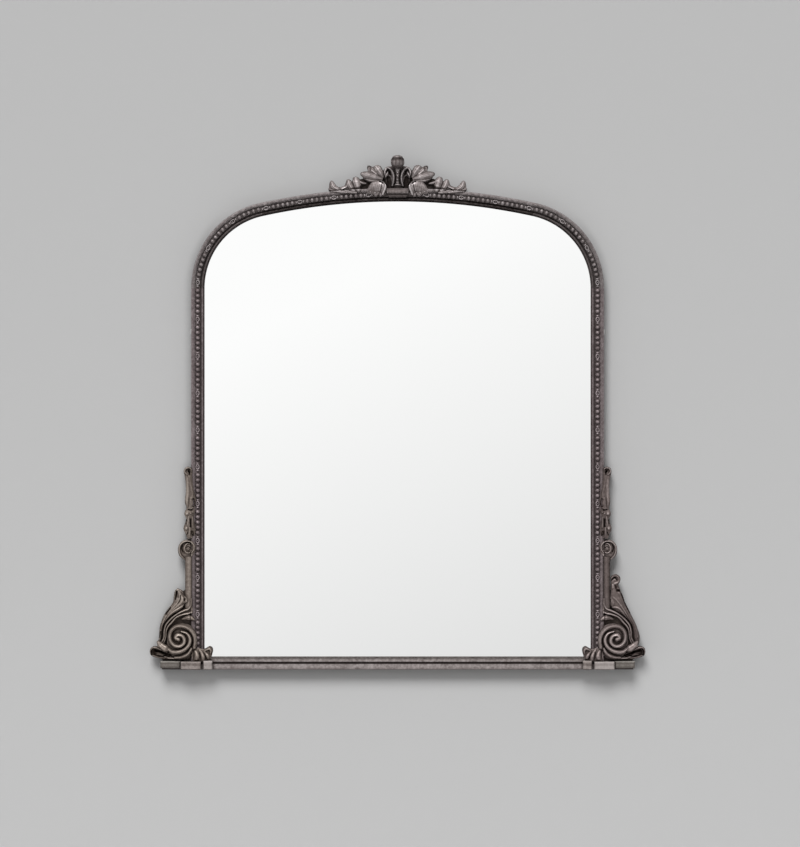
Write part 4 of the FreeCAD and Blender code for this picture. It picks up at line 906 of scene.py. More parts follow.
scroll = ({
    "grid": (140, 34), "floor": (27, 23, 22), "top": 40, "crown": (4, 3, 3),
    "firstEdge": ((190.2, 598), (189.8, 603.6), (187.2, 607.4), (184.4, 608.8), (178.4, 611.2),
                  (171.6, 615.8), (167.8, 620), (164.9, 624.2), (163.1, 630.5), (162.7, 637.5),
                  (159.6, 643.6)),
    "secondEdge": ((191.9, 598), (192.3, 606), (192.2, 613.2), (188.4, 615.6), (181.4, 616.9), (178, 618.4),
                   (172.6, 624.3), (169.6, 627.5), (167.9, 630.6), (167, 637.5), (163.6, 646.4)),
    "ridges": (
        (((191.1, 598.6), (190.7, 605.4), (188.6, 608.8), (184.6, 610.4), (179.1, 612.9), (172.4, 617.5),
          (168.7, 621.2), (165.9, 624.9), (164.4, 630.5), (164, 637.9), (160.9, 643.6)),
         (2.6, 3.2, 3.2, 2.8), (5, 8, 8, 7)),
        (((191.4, 612.4), (188.4, 613.6), (184.6, 614.2), (180.9, 615.3), (176.6, 617.3), (171.3, 623.1),
          (168.3, 626.4), (166.6, 630), (165.9, 637), (162.6, 645.6)), (3, 3.2, 3, 2.6), (7, 8, 8, 7)),
    ),
    "washReach": 4, "liftAcross": 0.04,
}, {
    "spine": ((181.6, 619.4), (186.4, 618), (191.6, 618.2), (195.2, 620.4)), "widths": (0.8, 2.4, 2.8, 1),
    "floor": (24, 28, 30), "rise": (5, 6, 4), "ribs": 3, "ribDepth": 0.9, "reliefLift": -0.1,
})
acanthus = ({
    "grid": (170, 56), "floor": (31, 29, 25, 21, 19, 18), "top": 44,
    "crown": (5, 8, 10, 12, 13, 11, 8),
    "firstEdge": ((177.4, 588.2), (175.2, 590.4), (173.9, 596), (172.8, 602.4), (168.9, 607.5),
                  (164.4, 614), (161.4, 620.6), (159.4, 628), (158.8, 637), (157.7, 643.4)),
    "secondEdge": ((177.4, 588.2), (182.4, 590.8), (184.2, 595.4), (187.4, 598), (188, 601.4),
                   (185.2, 603.2), (181.6, 609.4), (171.4, 615.4), (166.4, 620.6), (163.6, 625),
                   (162.1, 631), (161.7, 637.6), (160.4, 643.6)),
    "ridges": (
        (((187, 601.6), (184.4, 604.8), (180.2, 607.8), (175.8, 610.4), (171.6, 613.6), (168.2, 617.4),
          (165.8, 621.4), (164, 626.6)), (2.2, 3, 3, 2.4), (5, 8, 7, 3)),
        (((182, 593), (183.2, 597), (182, 601.6), (177.6, 606.2), (172.4, 610.4), (168, 615.6)),
         (1.6, 2.2, 2, 1.6), (3, 4, 3, 1)),
        (((179, 592.6), (179.6, 597), (178, 601.8), (173.6, 607), (168.6, 612.6), (164.9, 618.4),
          (162.7, 625), (161.5, 633)), (1.4, 2, 1.8, 1.6), (1, 3, 3, 2)),
        (((176.4, 590), (179.6, 589.8), (182.6, 592.2), (184.4, 596.4), (187.2, 599.2), (186.6, 602)),
         (1.6, 1.8, 1.8, 2.2), (3, 4, 4, 4)),
    ),
    "grooves": (
        (((177, 591.4), (176.4, 595.2), (175.6, 599.4)), (2.4, 2.8, 1.8), (7, 7, 3)),
        (((184.6, 598.8), (184.4, 601)), 1.8, 3),
        (((180.6, 595.4), (180.4, 599.6), (177.4, 604)), (0.9, 1, 0.7), (2.5, 3, 1)),
        (((170.8, 607.6), (166.6, 613.2)), 1.5, 3),
        (((163.2, 616.4), (161, 621.6)), 1.8, 4),
        (((161.2, 623.6), (159.8, 628.6)), 1.8, 4),
        (((160.8, 631.6), (159.6, 637.4)), 1.7, 4),
    ),
    # painted shade in the valleys between the lobes and down the leaf
    "paintedShade": (
        (((177.4, 592.8), (178.4, 596.8)), (4, 3.4), (0.6, 0.5)),
        (((181.4, 592.4), (183.4, 596), (184.8, 600)), (2.2, 2.4, 2), 0.4),
        (((170.2, 608.6), (166.2, 613.8)), (3.2, 3.4), (0.4, 0.5)),
        (((162.2, 620), (160.6, 629), (160, 638)), (3, 3.2, 3), (0.15, 0.2, 0.2)),
    ),
    # painted shade along the outer edge and painted light across the middle
    "washScale": 1.7, "washReach": 4, "liftAcross": (-0.16, 0.04, 0.14, 0.12, 0.10),
},)
rightAcanthus = ({
    # the same leaf as modelled on the right: slimmer above, its tip wound up like a crozier; it is
    # painted darker across as shade on the right side
    "grid": (190, 60), "floor": (30, 29, 27, 23, 20, 18), "top": 44,
    "crown": (3, 6, 8, 11, 12, 10, 8),
    "firstEdge": ((610.6, 577.4), (612.2, 575.4), (615, 574.3), (618.4, 575.2), (620.4, 578.4),
                  (619.8, 582.2), (618.4, 584.6), (619.6, 588), (621, 591.6), (622.8, 595.4), (625, 602),
                  (627.2, 606.4), (629.6, 611), (631.8, 615.6), (633.8, 619.6), (636.2, 624.6),
                  (638, 629.4), (639.6, 634.6), (639.8, 640), (638.8, 645)),
    "secondEdge": ((610.6, 578.6), (611, 583), (610.8, 590), (610.2, 596), (609.6, 602), (611.2, 606.8),
                   (614.4, 610), (623.8, 615.6), (628.8, 620.6), (631.4, 625), (633, 631), (633.6, 637.6),
                   (634.8, 643.6)),
    "ridges": (
        (((612.6, 607.2), (616, 607.4), (619.4, 608.8), (622.6, 612.4), (625.6, 617.2), (628.4, 622.2),
          (630.8, 628)), (2.4, 3, 3, 2.4), (5, 8, 7, 3)),
        (((612.8, 597), (615.2, 598.8), (618.6, 602.6), (621.8, 607), (624.8, 611.8), (628, 617.6),
          (631, 623.6)), (1.8, 2.4, 2.2, 1.8), (3, 4, 4, 2)),
        (((619, 592.6), (621.6, 598), (624, 604), (627, 610), (630, 616), (633.4, 622.4),
          (636.4, 630), (637.4, 637)), (2.2, 2.6, 2.6, 2.2), (2, 4, 4, 3)),
        (((612.2, 600.6), (612.8, 603.4), (612.4, 605.4)), (3.4, 4.2, 3.2), (3, 4, 3)),
        (((614.4, 583.4), (617.4, 582.4), (619, 579.4), (617.8, 576.6), (615, 575.6), (612.4, 576.6),
          (611.6, 578)), (3.2, 2.8, 2.6, 2.4, 2), (6, 8, 8, 7, 5)),
        (((612.8, 584.6), (612.6, 588)), (2.6, 2.4), (4, 3)),
    ),
    "grooves": (
        (((611.8, 580), (613.4, 578.2), (615.4, 577.9), (616.4, 579.6)), (1.3, 1.5, 1.3), (5, 6, 4)),
        (((617.6, 590), (619, 590.6)), 1.8, 5),
        (((610.4, 599), (610, 602.4)), (1.2, 1.4), 4),
    ),
    # painted shade in the crozier's groove and the folds below it
    "paintedShade": (
        (((611.4, 580.2), (613.2, 578.2), (615.4, 577.8), (616.6, 579.8)), (2.4, 2.8, 2.4), (0.5, 0.7, 0.5)),
        (((615.4, 586), (615.8, 588)), 3, 0.6),
        (((617.2, 590.2), (619, 590.6)), (4, 3.6), 0.9),
        (((621.6, 594), (623.4, 599.4), (626.4, 606.6), (629.4, 612.4)), (2.8, 2.6, 2.8, 2.4),
          (0.45, 0.4, 0.4)),
        (((610, 600.4), (609.8, 603.4)), 2.4, 0.5),
    ),
    # a painted highlight below the crozier
    "lights": ((((612.8, 584.8), (613.4, 586.8)), (3.2, 3), 0.3),),
    "washScale": 1.7, "washReach": 4, "liftAcross": (-0.22, -0.10, -0.06, -0.06, -0.04),
},)
footLeaf = ({
    # the rolled lip: a bell mouth at its end, painted dark as the shade inside it, then a rim that runs
    # under the volute
    "grid": (140, 44), "floor": 24, "top": 44, "crown": (4, 6, 5, 4, 4),
    "firstEdge": ((149.8, 651.6), (150.6, 648.2), (153.2, 646.4), (157.2, 646.4), (161.6, 648.4),
                  (166.6, 650.4), (172.6, 653.6), (178.6, 654.6), (184, 653.8), (189.6, 650.6)),
    "secondEdge": ((149.8, 651.8), (150.8, 655.2), (154.6, 657.2), (161, 658.8), (169, 660.2),
                   (176, 660.6), (183, 660.2), (189.5, 658), (193.4, 653.6), (194.2, 651)),
    "ridges": (
        (((150.8, 654.2), (150.6, 650.6), (152.4, 648), (156.2, 647.6), (160.6, 649.2), (166.6, 651.4)),
         (2.4, 2.8, 3, 2.6, 2.2), (8, 10, 10, 8, 4)),
        (((153, 653.4), (152.8, 650.4), (154.2, 648.8)), (1.2, 1.2, 1), (11, 12, 9)),
        (((152.6, 655.2), (157.6, 657.2), (164.4, 658.4)), (2, 2, 1.6), (5, 4, 2)),
        (((157, 654.4), (160.6, 654.6), (163.4, 656)), (1.6, 2.4, 1.4), (3, 5, 3)),
        (((168, 658.2), (174.6, 658.4), (182.9, 657.4), (188.6, 654.4), (191.8, 650.8)),
         (2.2, 2.8, 3.2, 3), (4, 9, 10, 8)),
    ),
    "grooves": (
        (((155.8, 650.8), (159.4, 651.4), (164.6, 653.4), (170.6, 655.4), (177.6, 656)),
         (3, 3.2, 3, 2), (10, 10, 6, 4)),
        (((164, 655.4), (169.4, 656.6)), 2, 5),
    ),
    "paintedShade": (
        (((154.6, 651.6), (158.6, 652.4), (163.4, 655.4)), (8, 7, 5), (0.6, 0.5, 0.3)),
    ),
    "washScale": 1.8, "lift": (-0.30, -0.26, -0.20, -0.10, -0.02, 0, 0),
}, {
    "spine": ((157.4, 641), (160, 644.2), (164.2, 647.6), (170.4, 650.6)), "widths": (1.4, 3.4, 3.9, 1.4),
    "floor": (27, 33, 36, 34), "rise": (5, 8, 8, 4), "ribs": 2, "ribDepth": 0.7, "lobes": 2,
    "lobing": 0.14, "grid": (56, 33), "reliefLift": 0.04,
}, {
    "spine": ((157.4, 645.8), (160.6, 646.8), (165.6, 649)), "widths": (1.2, 1.7, 0.9),
    "floor": (32, 35, 35), "rise": (4, 6, 4), "reliefLift": -0.1,
})
cornerLeaf = ({
    # a broad leaf over the foot of the moulding, its tip curled over beside the glass
    "grid": (110, 60), "floor": 32.4, "back": 31, "top": 46, "crown": (1.5, 2.5, 2.5, 2, 1.5),
    "crownPower": 0.4,
    "firstEdge": ((192.2, 657), (192.8, 651.2), (195.2, 648.6), (198.6, 647.8), (201.6, 648.8),
                  (204.6, 649), (206.8, 647.8), (209.4, 646.6), (211.8, 647.8), (212.6, 650.8),
                  (211.9, 654.2)),
    "secondEdge": ((192.4, 659.4), (193.4, 661.2), (197, 661), (200.4, 661.4), (203.6, 661.4),
                   (206.4, 660), (209, 659.6), (210.8, 657.8), (211.6, 655)),
    "ridges": (
        (((195.4, 650.8), (196.8, 653.6), (197.2, 656.4), (196.8, 659)), (3.4, 5, 6.2, 5), (3, 5, 7, 5)),
        (((199.8, 650), (201.8, 653), (203.2, 656.6), (203.6, 659.8)), (3, 4.2, 5.6, 4.6), (3, 4, 7, 5)),
        (((204.4, 651.4), (206.4, 653.8), (207.8, 655.8), (208.4, 657.8)), (2.6, 3.6, 5, 4), (3, 4, 6, 5)),
        (((204.8, 650.6), (207.2, 649.4), (209.4, 648.8), (210.8, 650.4), (210.6, 653.2)),
         (2.2, 2.8, 3, 2.6, 1.8), (4, 6, 7, 6, 4)),
    ),
    "grooves": (
        (((199.8, 652.6), (200.6, 656.4), (200.4, 660.4)), (0.9, 1.2, 1.2), (2, 4, 4)),
        (((204.9, 655), (206, 657.6), (206.2, 660)), (0.8, 1.1, 1.2), (2, 4, 4)),
        (((193.8, 651.6), (193.8, 656), (193.4, 659.8)), (1, 1.1, 1), 3),
    ),
    "washScale": 4.2, "washReach": 8, "lift": (0.06, 0.06, 0.06, 0.04, 0.02, -0.10, -0.34),
},)
pilaster = ({
    "grid": (60, 26), "floor": 28.6, "top": 32.5, "crown": 1.6, "crownPower": 0.4,
    "firstEdge": ((185.2, 556.6), (185.2, 575), (185.2, 593), (185.2, 607.9)),
    "secondEdge": ((191.6, 556.6), (191.6, 575), (191.6, 593), (191.6, 607.9)),
    "ridges": ((((190.9, 557), (190.9, 580), (190.9, 607.5)), 1.2, 1.2),),
    # painted shade along both edges and painted light down the middle
    "washReach": 3, "liftAcross": (-0.20, -0.06, 0.02, 0.14, 0.18, 0.10, -0.22),
},)
smallScroll = ({
    "grid": (120, 80), "floor": 25, "top": 40, "crown": (0, 2, 3, 2, 0), "crownPower": 1,
    "firstEdge": ((187.4, 539.4), (182, 541.2), (178.7, 545.6), (177.9, 550.4), (179.2, 555.4),
                  (184.6, 560.4)),
    "secondEdge": ((187.4, 539.4), (192.2, 541.2), (195.2, 545.6), (195.2, 550.2), (192.6, 555),
                   (186.6, 560.4)),
    "ridges": (
        (((188.2, 549), (188.3, 549.3)), 2.3, 10),
        (((191.4, 550.6), (189.4, 552.8), (186.4, 552.4), (184.6, 549.8), (185, 546.2), (187.4, 543.6),
          (190, 543.8)), (1.4, 1.8, 2, 2.2, 2), (3, 5, 5, 5, 3)),
        (((191.8, 552.6), (193.8, 549.6), (193.9, 545.6), (191.4, 542.3), (187.4, 541.1), (183, 542.4),
          (180.1, 545.8), (179.3, 550.2), (180.6, 554.8), (184.4, 559.2)), (1.6, 2.2, 2.2, 2.2, 2),
         (6, 9, 9, 8, 6)),
    ),
    "grooves": (
        (((191.6, 546.2), (191.4, 549)), 1.3, 4),
        (((182.6, 544.8), (181.9, 548.4), (182.8, 552)), (1.3, 1.5, 1.2), (4, 5, 3)),
        (((186.6, 547.4), (188.4, 546.6), (190.2, 548)), 0.9, 3),
    ),
    # a painted highlight on the bead at the eye
    "lights": ((((188.2, 549), (188.3, 549.3)), 4, 0.45),),
    # painted shade in the grooves of the spiral
    "paintedShade": (
        (((191.2, 545.6), (191.6, 549)), (3.6, 3.4), 0.5),
        (((182.6, 546), (182.2, 549.4), (184, 553.4)), (2.6, 3, 2.6), (0.35, 0.4, 0.35)),
    ),
    "washScale": 3.2, "washReach": 6, "lift": (0.18, 0.16, 0.12, 0.02),
},)
leafDrop = ({
    # a slender leaf with a curled top, then two shorter leaves with a bead where each begins
    "grid": (190, 40), "floor": 27, "back": 8, "top": 40, "crown": (3, 5, 6, 6, 6, 6, 4), "crownPower": 0.4,
    "firstEdge": ((187.6, 466.6), (184.9, 468), (183.7, 471.2), (184.4, 475), (185.4, 480), (185.8, 486),
                  (185.8, 492), (185, 498.5), (185, 503), (186.4, 508.6), (184.9, 511.2), (184.3, 514.2),
                  (186.1, 518.5), (185.1, 523), (183.8, 526.4), (183.5, 529.4), (185.4, 533.5),
                  (187.2, 538.6)),
    "secondEdge": ((188.4, 466.6), (191, 467.8), (192.5, 471), (192, 475), (192.4, 480), (193.4, 488),
                   (195, 495), (195.6, 502), (194.4, 507.6), (194.8, 512), (193.7, 517), (194.3, 522),
                   (195.4, 527.4), (195.2, 532), (194, 536), (190.6, 538.8)),
    "ridges": (
        (((187, 474.6), (184.9, 471.6), (185.8, 468.8), (188.2, 467.8), (190.8, 468.8), (191.2, 471.4)),
         (1.9, 2, 2, 2, 1.8, 1.4), (6, 8, 8, 8, 7, 5)),
        (((186.4, 475.4), (187.4, 481), (187.8, 487), (187.4, 494), (187, 500), (187.4, 506)),
         (2.4, 4, 4.4, 4.4, 4.4, 3), (2, 3, 3, 3, 4, 2)),
        (((191, 486), (192.6, 493.4), (192, 498.4)), (2, 3, 2.4), (1, 2, 2)),
        (((190.4, 498), (190.2, 504), (190, 508)), (1.6, 2, 1.6), (3, 4, 3)),
        (((187.2, 513.4), (187.3, 514)), 2.8, 7),
        (((190.6, 513.5), (190.6, 513.7)), 1.8, 6),
        (((193, 512), (193, 512.4)), 1.8, 6),
        (((188.8, 517), (188.2, 521.4), (187.4, 525.6)), (2, 2.4, 1.8), (4, 4, 3)),
        (((192.3, 517), (192.9, 521.6), (193, 527.6)), (1.8, 2, 1.6), (5, 5, 4)),
        (((186.5, 528.2), (186.6, 528.8)), 2.9, 7),
        (((189.8, 528), (189.6, 532.6), (189.2, 537)), (2, 2.6, 1.6), (4, 4, 2)),
        (((192.6, 533), (192.6, 533.8)), 1.8, 6),
    ),
    "grooves": (
        (((188.4, 471), (189.4, 472.4), (189.2, 474.4)), (1.8, 2, 1.4), (8, 8, 5)),
        (((193.2, 499.6), (193.8, 502), (193.2, 505.4)), (1.5, 1.7, 1.5), (6, 7, 6)),
        (((188.4, 509.4), (191, 510), (193.4, 508.6)), (1.1, 1.2, 1.1), (4, 5, 4)),
        (((186.6, 519.6), (186.4, 520.8)), 1.1, 4),
        (((190.5, 519.6), (190.5, 526.6)), (1, 1.1), 6),
        (((188, 532.2), (186.8, 535)), 0.9, 3),
        (((193.2, 536), (193, 536.6)), 1.3, 4),
    ),
    # painted highlights on the beads and down the slender leaf
    "lights": (
        (((187.2, 513), (187.3, 513.6)), 4.4, 0.5),
        (((190.6, 513.2), (190.6, 513.6)), 3, 0.35),
        (((186.5, 527.8), (186.6, 528.4)), 4.4, 0.5),
        (((186.6, 480), (187.2, 492), (187, 501)), (3.6, 4.4, 4), (0.10, 0.16, 0.12)),
    ),
    # painted shade in the grooves, under the curled top and between the leaves
    "paintedShade": (
        (((188.8, 470.8), (189.6, 474.6)), (4, 3), (0.5, 0.3)),
        (((193.4, 499), (194, 502), (193.2, 506)), (3.4, 3.8, 3.4), (0.6, 0.7, 0.6)),
        (((188.2, 509.6), (191.6, 510.2)), (2.4, 2.6), 0.5),
        (((190.5, 519), (190.6, 526.6)), 3, 0.5),
        (((186.4, 520), (186, 523.6)), 2.6, 0.35),
        (((192, 531.6), (193.4, 536.6)), 3.4, 0.6),
    ),
    # painted light on the left side and painted shade on the right
    "washScale": 3, "liftAcross": (0.06, 0.04, 0, -0.04, -0.10),
},)

sideCastings = {
    "volute": volute, "scroll": scroll, "acanthus": acanthus, "foot_leaf": footLeaf,
    "corner_leaf": cornerLeaf, "pilaster": pilaster, "small_scroll": smallScroll, "leaf_drop": leafDrop,
}
rightShadeLifts = {"pilaster": -0.20, "leaf_drop": -0.08}  # painted shade: these castings are painted darker on the right, where that side lies in shade
for label, parts in sideCastings.items():
    piece = makeCasting(f"left_{label}_relief", parts, photo["middle"])
    settle(piece, silverLeft, f"left_{label}")
    ownRight = label == "acanthus"
    piece = makeCasting(f"right_{label}_relief", rightAcanthus if ownRight else parts, photo["middle"],
                        turned=not ownRight, lift=rightShadeLifts.get(label, 0.0))
    settle(piece, silverRight, f"right_{label}")
print("side castings done")


# Crest

def petals(shared, *rows):
    # lobes that share a look and differ in spine, widths, floor, rise and number of ribs
    return tuple(dict(shared, spine=spine, widths=widths, floor=floor, rise=rise, ribs=ribs)
                 for spine, widths, floor, rise, ribs in rows)


def mirrored(points):
    # the same line on the other side of the crest's centre line
    return tuple((2 * photo["crestMiddle"] - column, row) for column, row in points)


def pairs(*lines):
    # each line with its sizes, and the mirror image of the line with the same sizes
    return lines + tuple((mirrored(points), *sizes) for points, *sizes in lines)


upperLeaf = ({
    "grid": (110, 40), "floor": 18, "top": 34, "crown": (4, 5, 5, 4),
    "firstEdge": ((364.4, 174.6), (364.6, 172.4), (366.6, 171.6), (369.6, 172), (371.2, 170.6),
                  (370.9, 168.2), (371.6, 166.6), (373.4, 166.2), (375.4, 167.2), (377.4, 166),
                  (379.4, 166.2), (381.8, 168), (384, 170.8), (385.8, 174.6)),
    "secondEdge": ((364.4, 175), (365.6, 177.2), (367.8, 179.6), (370.6, 181.6), (374, 182.4),
                   (378.6, 181.8), (382.8, 180.8), (386.4, 179.2)),
    "washScale": 1.4,
},) + petals({
    "top": 36, "ribDepth": 0.4, "midrib": 0.3, "lobes": 2, "lobing": 0.05, "washScale": 1.9,
    "blunt": 0.42, "grid": (48, 29), "reliefLift": 0.04,
    # painted shade at the tip of one lobe
    "paintedShade": ((((372.4, 167), (373, 168.8)), (6, 5), 0.5),),
}, (((386, 177.6), (384, 173.6), (381.4, 169.8), (378.2, 165.4)), (1.8, 3.5, 4.4, 4.6),
    (21, 23, 22, 19), (3, 4, 4, 2), 3),
   (((384.2, 177.6), (379, 173.8), (375, 170.4), (370.8, 165.6)), (1.6, 3, 3.4, 3.4),
    (20, 22, 20, 16), (3, 4, 4, 2), 3),
   (((385.6, 179.4), (379.4, 177.6), (371.6, 175.4), (363.4, 173.4)), (1.8, 3.6, 4.1, 4),
    (22, 24, 22, 18), (3, 5, 4, 2), 4),
   (((385.6, 180.8), (380.4, 181), (374.4, 180.6), (368.2, 178.8)), (1, 1.7, 1.8, 1.3),
    (21, 23, 22, 20), (3, 4, 4, 2), 2))
lowerLeaf = ({
    # a shell: fine ribs that fan out from its heel, a rolled rim with a painted highlight along it and a
    # scalloped lower edge
    "grid": (150, 56), "floor": (27, 26, 25, 24), "top": 40, "crown": (7, 7, 6, 5),
    "ribs": 11, "ribDepth": 0.4,
    "firstEdge": ((388.4, 184), (386.6, 181.6), (383, 180.6), (378.8, 180.8), (374.8, 182.4),
                  (372.4, 185.4), (370.6, 189)),
    "secondEdge": ((389.9, 186.6), (389.9, 191.6), (387.6, 195.2), (385, 195.6), (382.8, 193.8),
                   (380.4, 195.2), (377.8, 195.4), (375.6, 193.6), (373.4, 194), (371.2, 193.2),
                   (369.8, 191.8), (369.6, 190.2)),
    "ridges": (
        (((384, 180.6), (386.8, 181.2), (388.6, 184), (388.4, 188.4), (387, 192), (386, 194.2)),
         (1.6, 2.6, 3.4, 3.6, 2.8), (3, 6, 9, 10, 6)),
        (((378.3, 193), (378.2, 193.3)), 2.4, 4),
        (((373.6, 192), (373.5, 192.2)), 1.9, 3),
        (((382, 192.6), (382, 192.8)), 1.6, 3),
        (((371.2, 191), (371.1, 191.2)), 1.7, 3),
    ),
    "grooves": (
        (((382.6, 181.6), (384.6, 182), (386, 183.6)), (1.3, 1.7, 1.2), (5, 6, 4)),
        (((384.8, 184.8), (384.2, 189.4), (383.2, 192.2)), (0.8, 0.9, 0.8), (1, 2, 2)),
    ),
    "lights": ((((388, 184.4), (387.4, 189), (386.2, 193)), (4, 5, 4), (0.3, 0.5, 0.3)),),
    "washScale": 2.4, "washReach": 7, "lift": (0.16, 0.08, 0.06, 0.02),
},)
spray = ({
    "grid": (190, 44), "floor": 17, "top": 32, "crown": (3, 4, 5, 5, 5),
    "firstEdge": ((332, 188.4), (332.4, 184.6), (333, 181.8), (334.6, 180.6), (336, 182), (337.2, 184.8),
                  (340.4, 186.8), (344.4, 186.6), (347.8, 185), (349, 182), (350.4, 179.6), (352.2, 179.6),
                  (353.6, 181.8), (355.4, 180.4), (356.2, 177.4), (358.2, 176.8), (360.4, 178.2),
                  (362.8, 180.2), (366, 181.8), (368.8, 183)),
    "secondEdge": ((331.8, 190.8), (335, 192.2), (340, 192.8), (346, 192.8), (352, 192.6), (358, 192.4),
                   (362.4, 191.6), (363.2, 188.4), (364, 185.4), (367, 184.6), (370.4, 184)),
    "grooves": ((((344.8, 190.4), (347, 189), (350.4, 187.6)), (1, 1.2, 0.9), (5, 6, 4)),),
    "washScale": 1.4,
},) + petals({
    "top": 34, "ribDepth": 0.4, "midrib": 0.3, "lobes": 2, "lobing": 0.05, "washScale": 1.9,
    "blunt": 0.42, "grid": (48, 27), "reliefLift": 0.04,
    # painted shade between the lobes
    "paintedShade": ((((345, 190.2), (347.4, 188.8), (350.4, 187.2)), (3, 3.4, 3), (0.7, 0.8, 0.7)),
               (((364.6, 186.8), (368.4, 186.4)), 5, 0.9)),
}, (((362, 191.6), (361, 187), (359.8, 182.2), (358.4, 176.4)), (2.4, 4, 4.3, 4.5),
    (20, 22, 21, 17), (3, 5, 4, 2), 4),
   (((357.6, 191.8), (355, 188.4), (352.6, 184.2), (351, 178.8)), (2.2, 3.4, 3.4, 3.4),
    (19, 21, 20, 16), (3, 4, 3, 2), 3),
   (((369.4, 183.4), (365.6, 182.9), (361.6, 181.2)), (0.9, 1.5, 1.3), (19, 21, 20), (3, 4, 3), 2),
   (((346.6, 191.8), (341.4, 189.8), (336.8, 186.6), (334.4, 180.4)), (1.6, 2.8, 3, 3),
    (19, 21, 20, 16), (3, 4, 3, 2), 3),
   (((350, 192.6), (342.4, 191.6), (336.4, 190.4), (331.2, 188.6)), (1.4, 1.8, 1.9, 1.6),
    (20, 21, 20, 18), (3, 4, 3, 2), 2),
   (((360, 192.8), (353, 192.2), (347, 192.4)), (1.5, 1.7, 1), (20, 20, 19), (3, 4, 2), 2))
cartoucheEdge = ((396, 165.8), (391, 166.2), (387.6, 168.4), (386.2, 172), (386.4, 175.6), (388.4, 178.2),
                 (389.2, 183), (390, 188.1))
cartouche = ({
    # a waisted body with a row of beads, two bold straps, curled ears and a deep hollow below each;
    # each hollow is also painted dark as shade, and the beads, straps and ears carry painted highlights
    "grid": (130, 110), "floor": 17, "top": 38, "crown": 3, "crownPower": 0.4,
    "firstEdge": cartoucheEdge, "secondEdge": mirrored(cartoucheEdge),
    "ridges": (
        (((400.8, 168.2), (400.8, 176), (400.8, 183)), (7, 6.4, 6), (8, 8, 5)),
        (((400.8, 172.5), (400.8, 172.8)), 2.9, 15),
        (((400.8, 176), (400.8, 176.3)), 2.9, 16),
        (((400.8, 179.4), (400.8, 179.7)), 2.9, 15),
        (((396.4, 185.2), (400.8, 184.6), (405.2, 185.2)), (2, 2.4, 2), (5, 6, 5)),
        *pairs((((391, 167.8), (394, 169.6), (396, 173), (396.9, 177.4), (396.6, 181.6), (395.4, 186)),
                (2.2, 2.9, 3.2, 2.4), (14, 18, 19, 13)),
               (((391.4, 168), (388.9, 169.4), (388, 172.2), (388.8, 175.4)),
                (2.8, 3.8, 4, 3.4), (8, 10, 11, 8)),
               (((390.8, 172), (389.9, 174.6), (388.6, 177.2)), (2.4, 3, 2.2), (9, 12, 8))),
    ),
    "grooves": pairs((((392, 177.6), (392.2, 182.4), (392.2, 187.8)), (4.6, 5.4, 5.2), (10, 12, 12)),
                     (((392.4, 171.4), (393.2, 174.6)), (1.3, 1.5), 6)),
    "paintedShade": pairs((((391.6, 178.2), (392, 181), (392.2, 188)), (5.6, 7, 7), (1.4, 1.8, 1.8)),
                    (((392.6, 170.8), (393.6, 174.6)), (2.2, 2.4), 0.5)),
    "lights": (
        (((400.8, 172), (400.8, 179.8)), 3.8, 0.95),
        *pairs((((394.4, 170.2), (396.2, 174), (396.6, 181)), (3.8, 4.6, 4.2), (0.55, 0.85, 0.75)),
               (((390.2, 173.2), (390, 176)), (4.2, 3.6), (0.4, 0.3))),
    ),
    "washScale": 3, "washReach": 6, "lift": (0.14, 0.20, 0.22, 0.20, 0.12, 0),
},)
tabletEdge = ((389.4, 188.3), (389.2, 191), (390.2, 194), (392.4, 197.6))
tablet = ({
    "grid": (60, 60), "floor": 33, "back": 30.3, "top": 42, "crown": (2, 5, 6, 5, 2), "crownPower": 0.35,
    "firstEdge": tabletEdge, "secondEdge": mirrored(tabletEdge),
    "ridges": (
        (((390.4, 189.4), (400.8, 189.4), (411.2, 189.4)), 1.2, 1),
        (((390.6, 192.4), (400.8, 192.4), (411, 192.4)), 1.8, 3),
        (((392.6, 196.4), (400.8, 196.4), (409, 196.4)), 1.4, 1.2),
    ),
    "grooves": ((((390.6, 194.4), (400.8, 194.4), (411, 194.4)), 1.6, 2.5),),
    "washScale": 1, "washReach": 3, "lift": (-0.22, -0.04, -0.18, -0.24),
},)

for label, parts in (("upper_leaf", upperLeaf), ("lower_leaf", lowerLeaf), ("spray", spray)):
    for sideName, side in sides:
        piece = makeCasting(f"{sideName}_crest_{label}_relief", parts, photo["crestMiddle"], turned=side > 0)
        settle(piece, silverCrest, f"{sideName}_crest_{label}")
for label, parts in (("cartouche", cartouche), ("tablet", tablet)):
    piece = makeCasting(f"crest_{label}_relief", parts, photo["crestMiddle"])
    settle(piece, silverCrest, f"crest_{label}")

finial = {
    # radii and heights as shares of the whole, as are the heights below
    "profileShares": ((0.56, 0), (0.80, 0.14), (0.95, 0.30), (1, 0.46), (0.97, 0.60), (0.89, 0.72),
                      (0.80, 0.79), (0.74, 0.81), (0.74, 0.84), (0.68, 0.90), (0.52, 0.96), (0.28, 0.995),
                      (0, 1)),
    "ribs": 10, "ribShare": 0.05, "ribPower": 0.7, "ribRelief": 0.16,
    "rows": 72, "columns": 120, "sharpDegrees": 38,
    # where the ribs begin, are full, begin to fade and end
    "ribSpanShares": (0.16, 0.24, 0.58, 0.70),
    # painted shade in the band under the cap and along the very top, and a painted highlight on the cap
    "reliefShares": (0, 0.2, 0.52, 0.62, 0.79, 0.83, 0.93, 0.985),
    "reliefs": (0.22, 0.40, 0.46, 0.16, 0.10, 0.52, 0.62, 0.15),
}


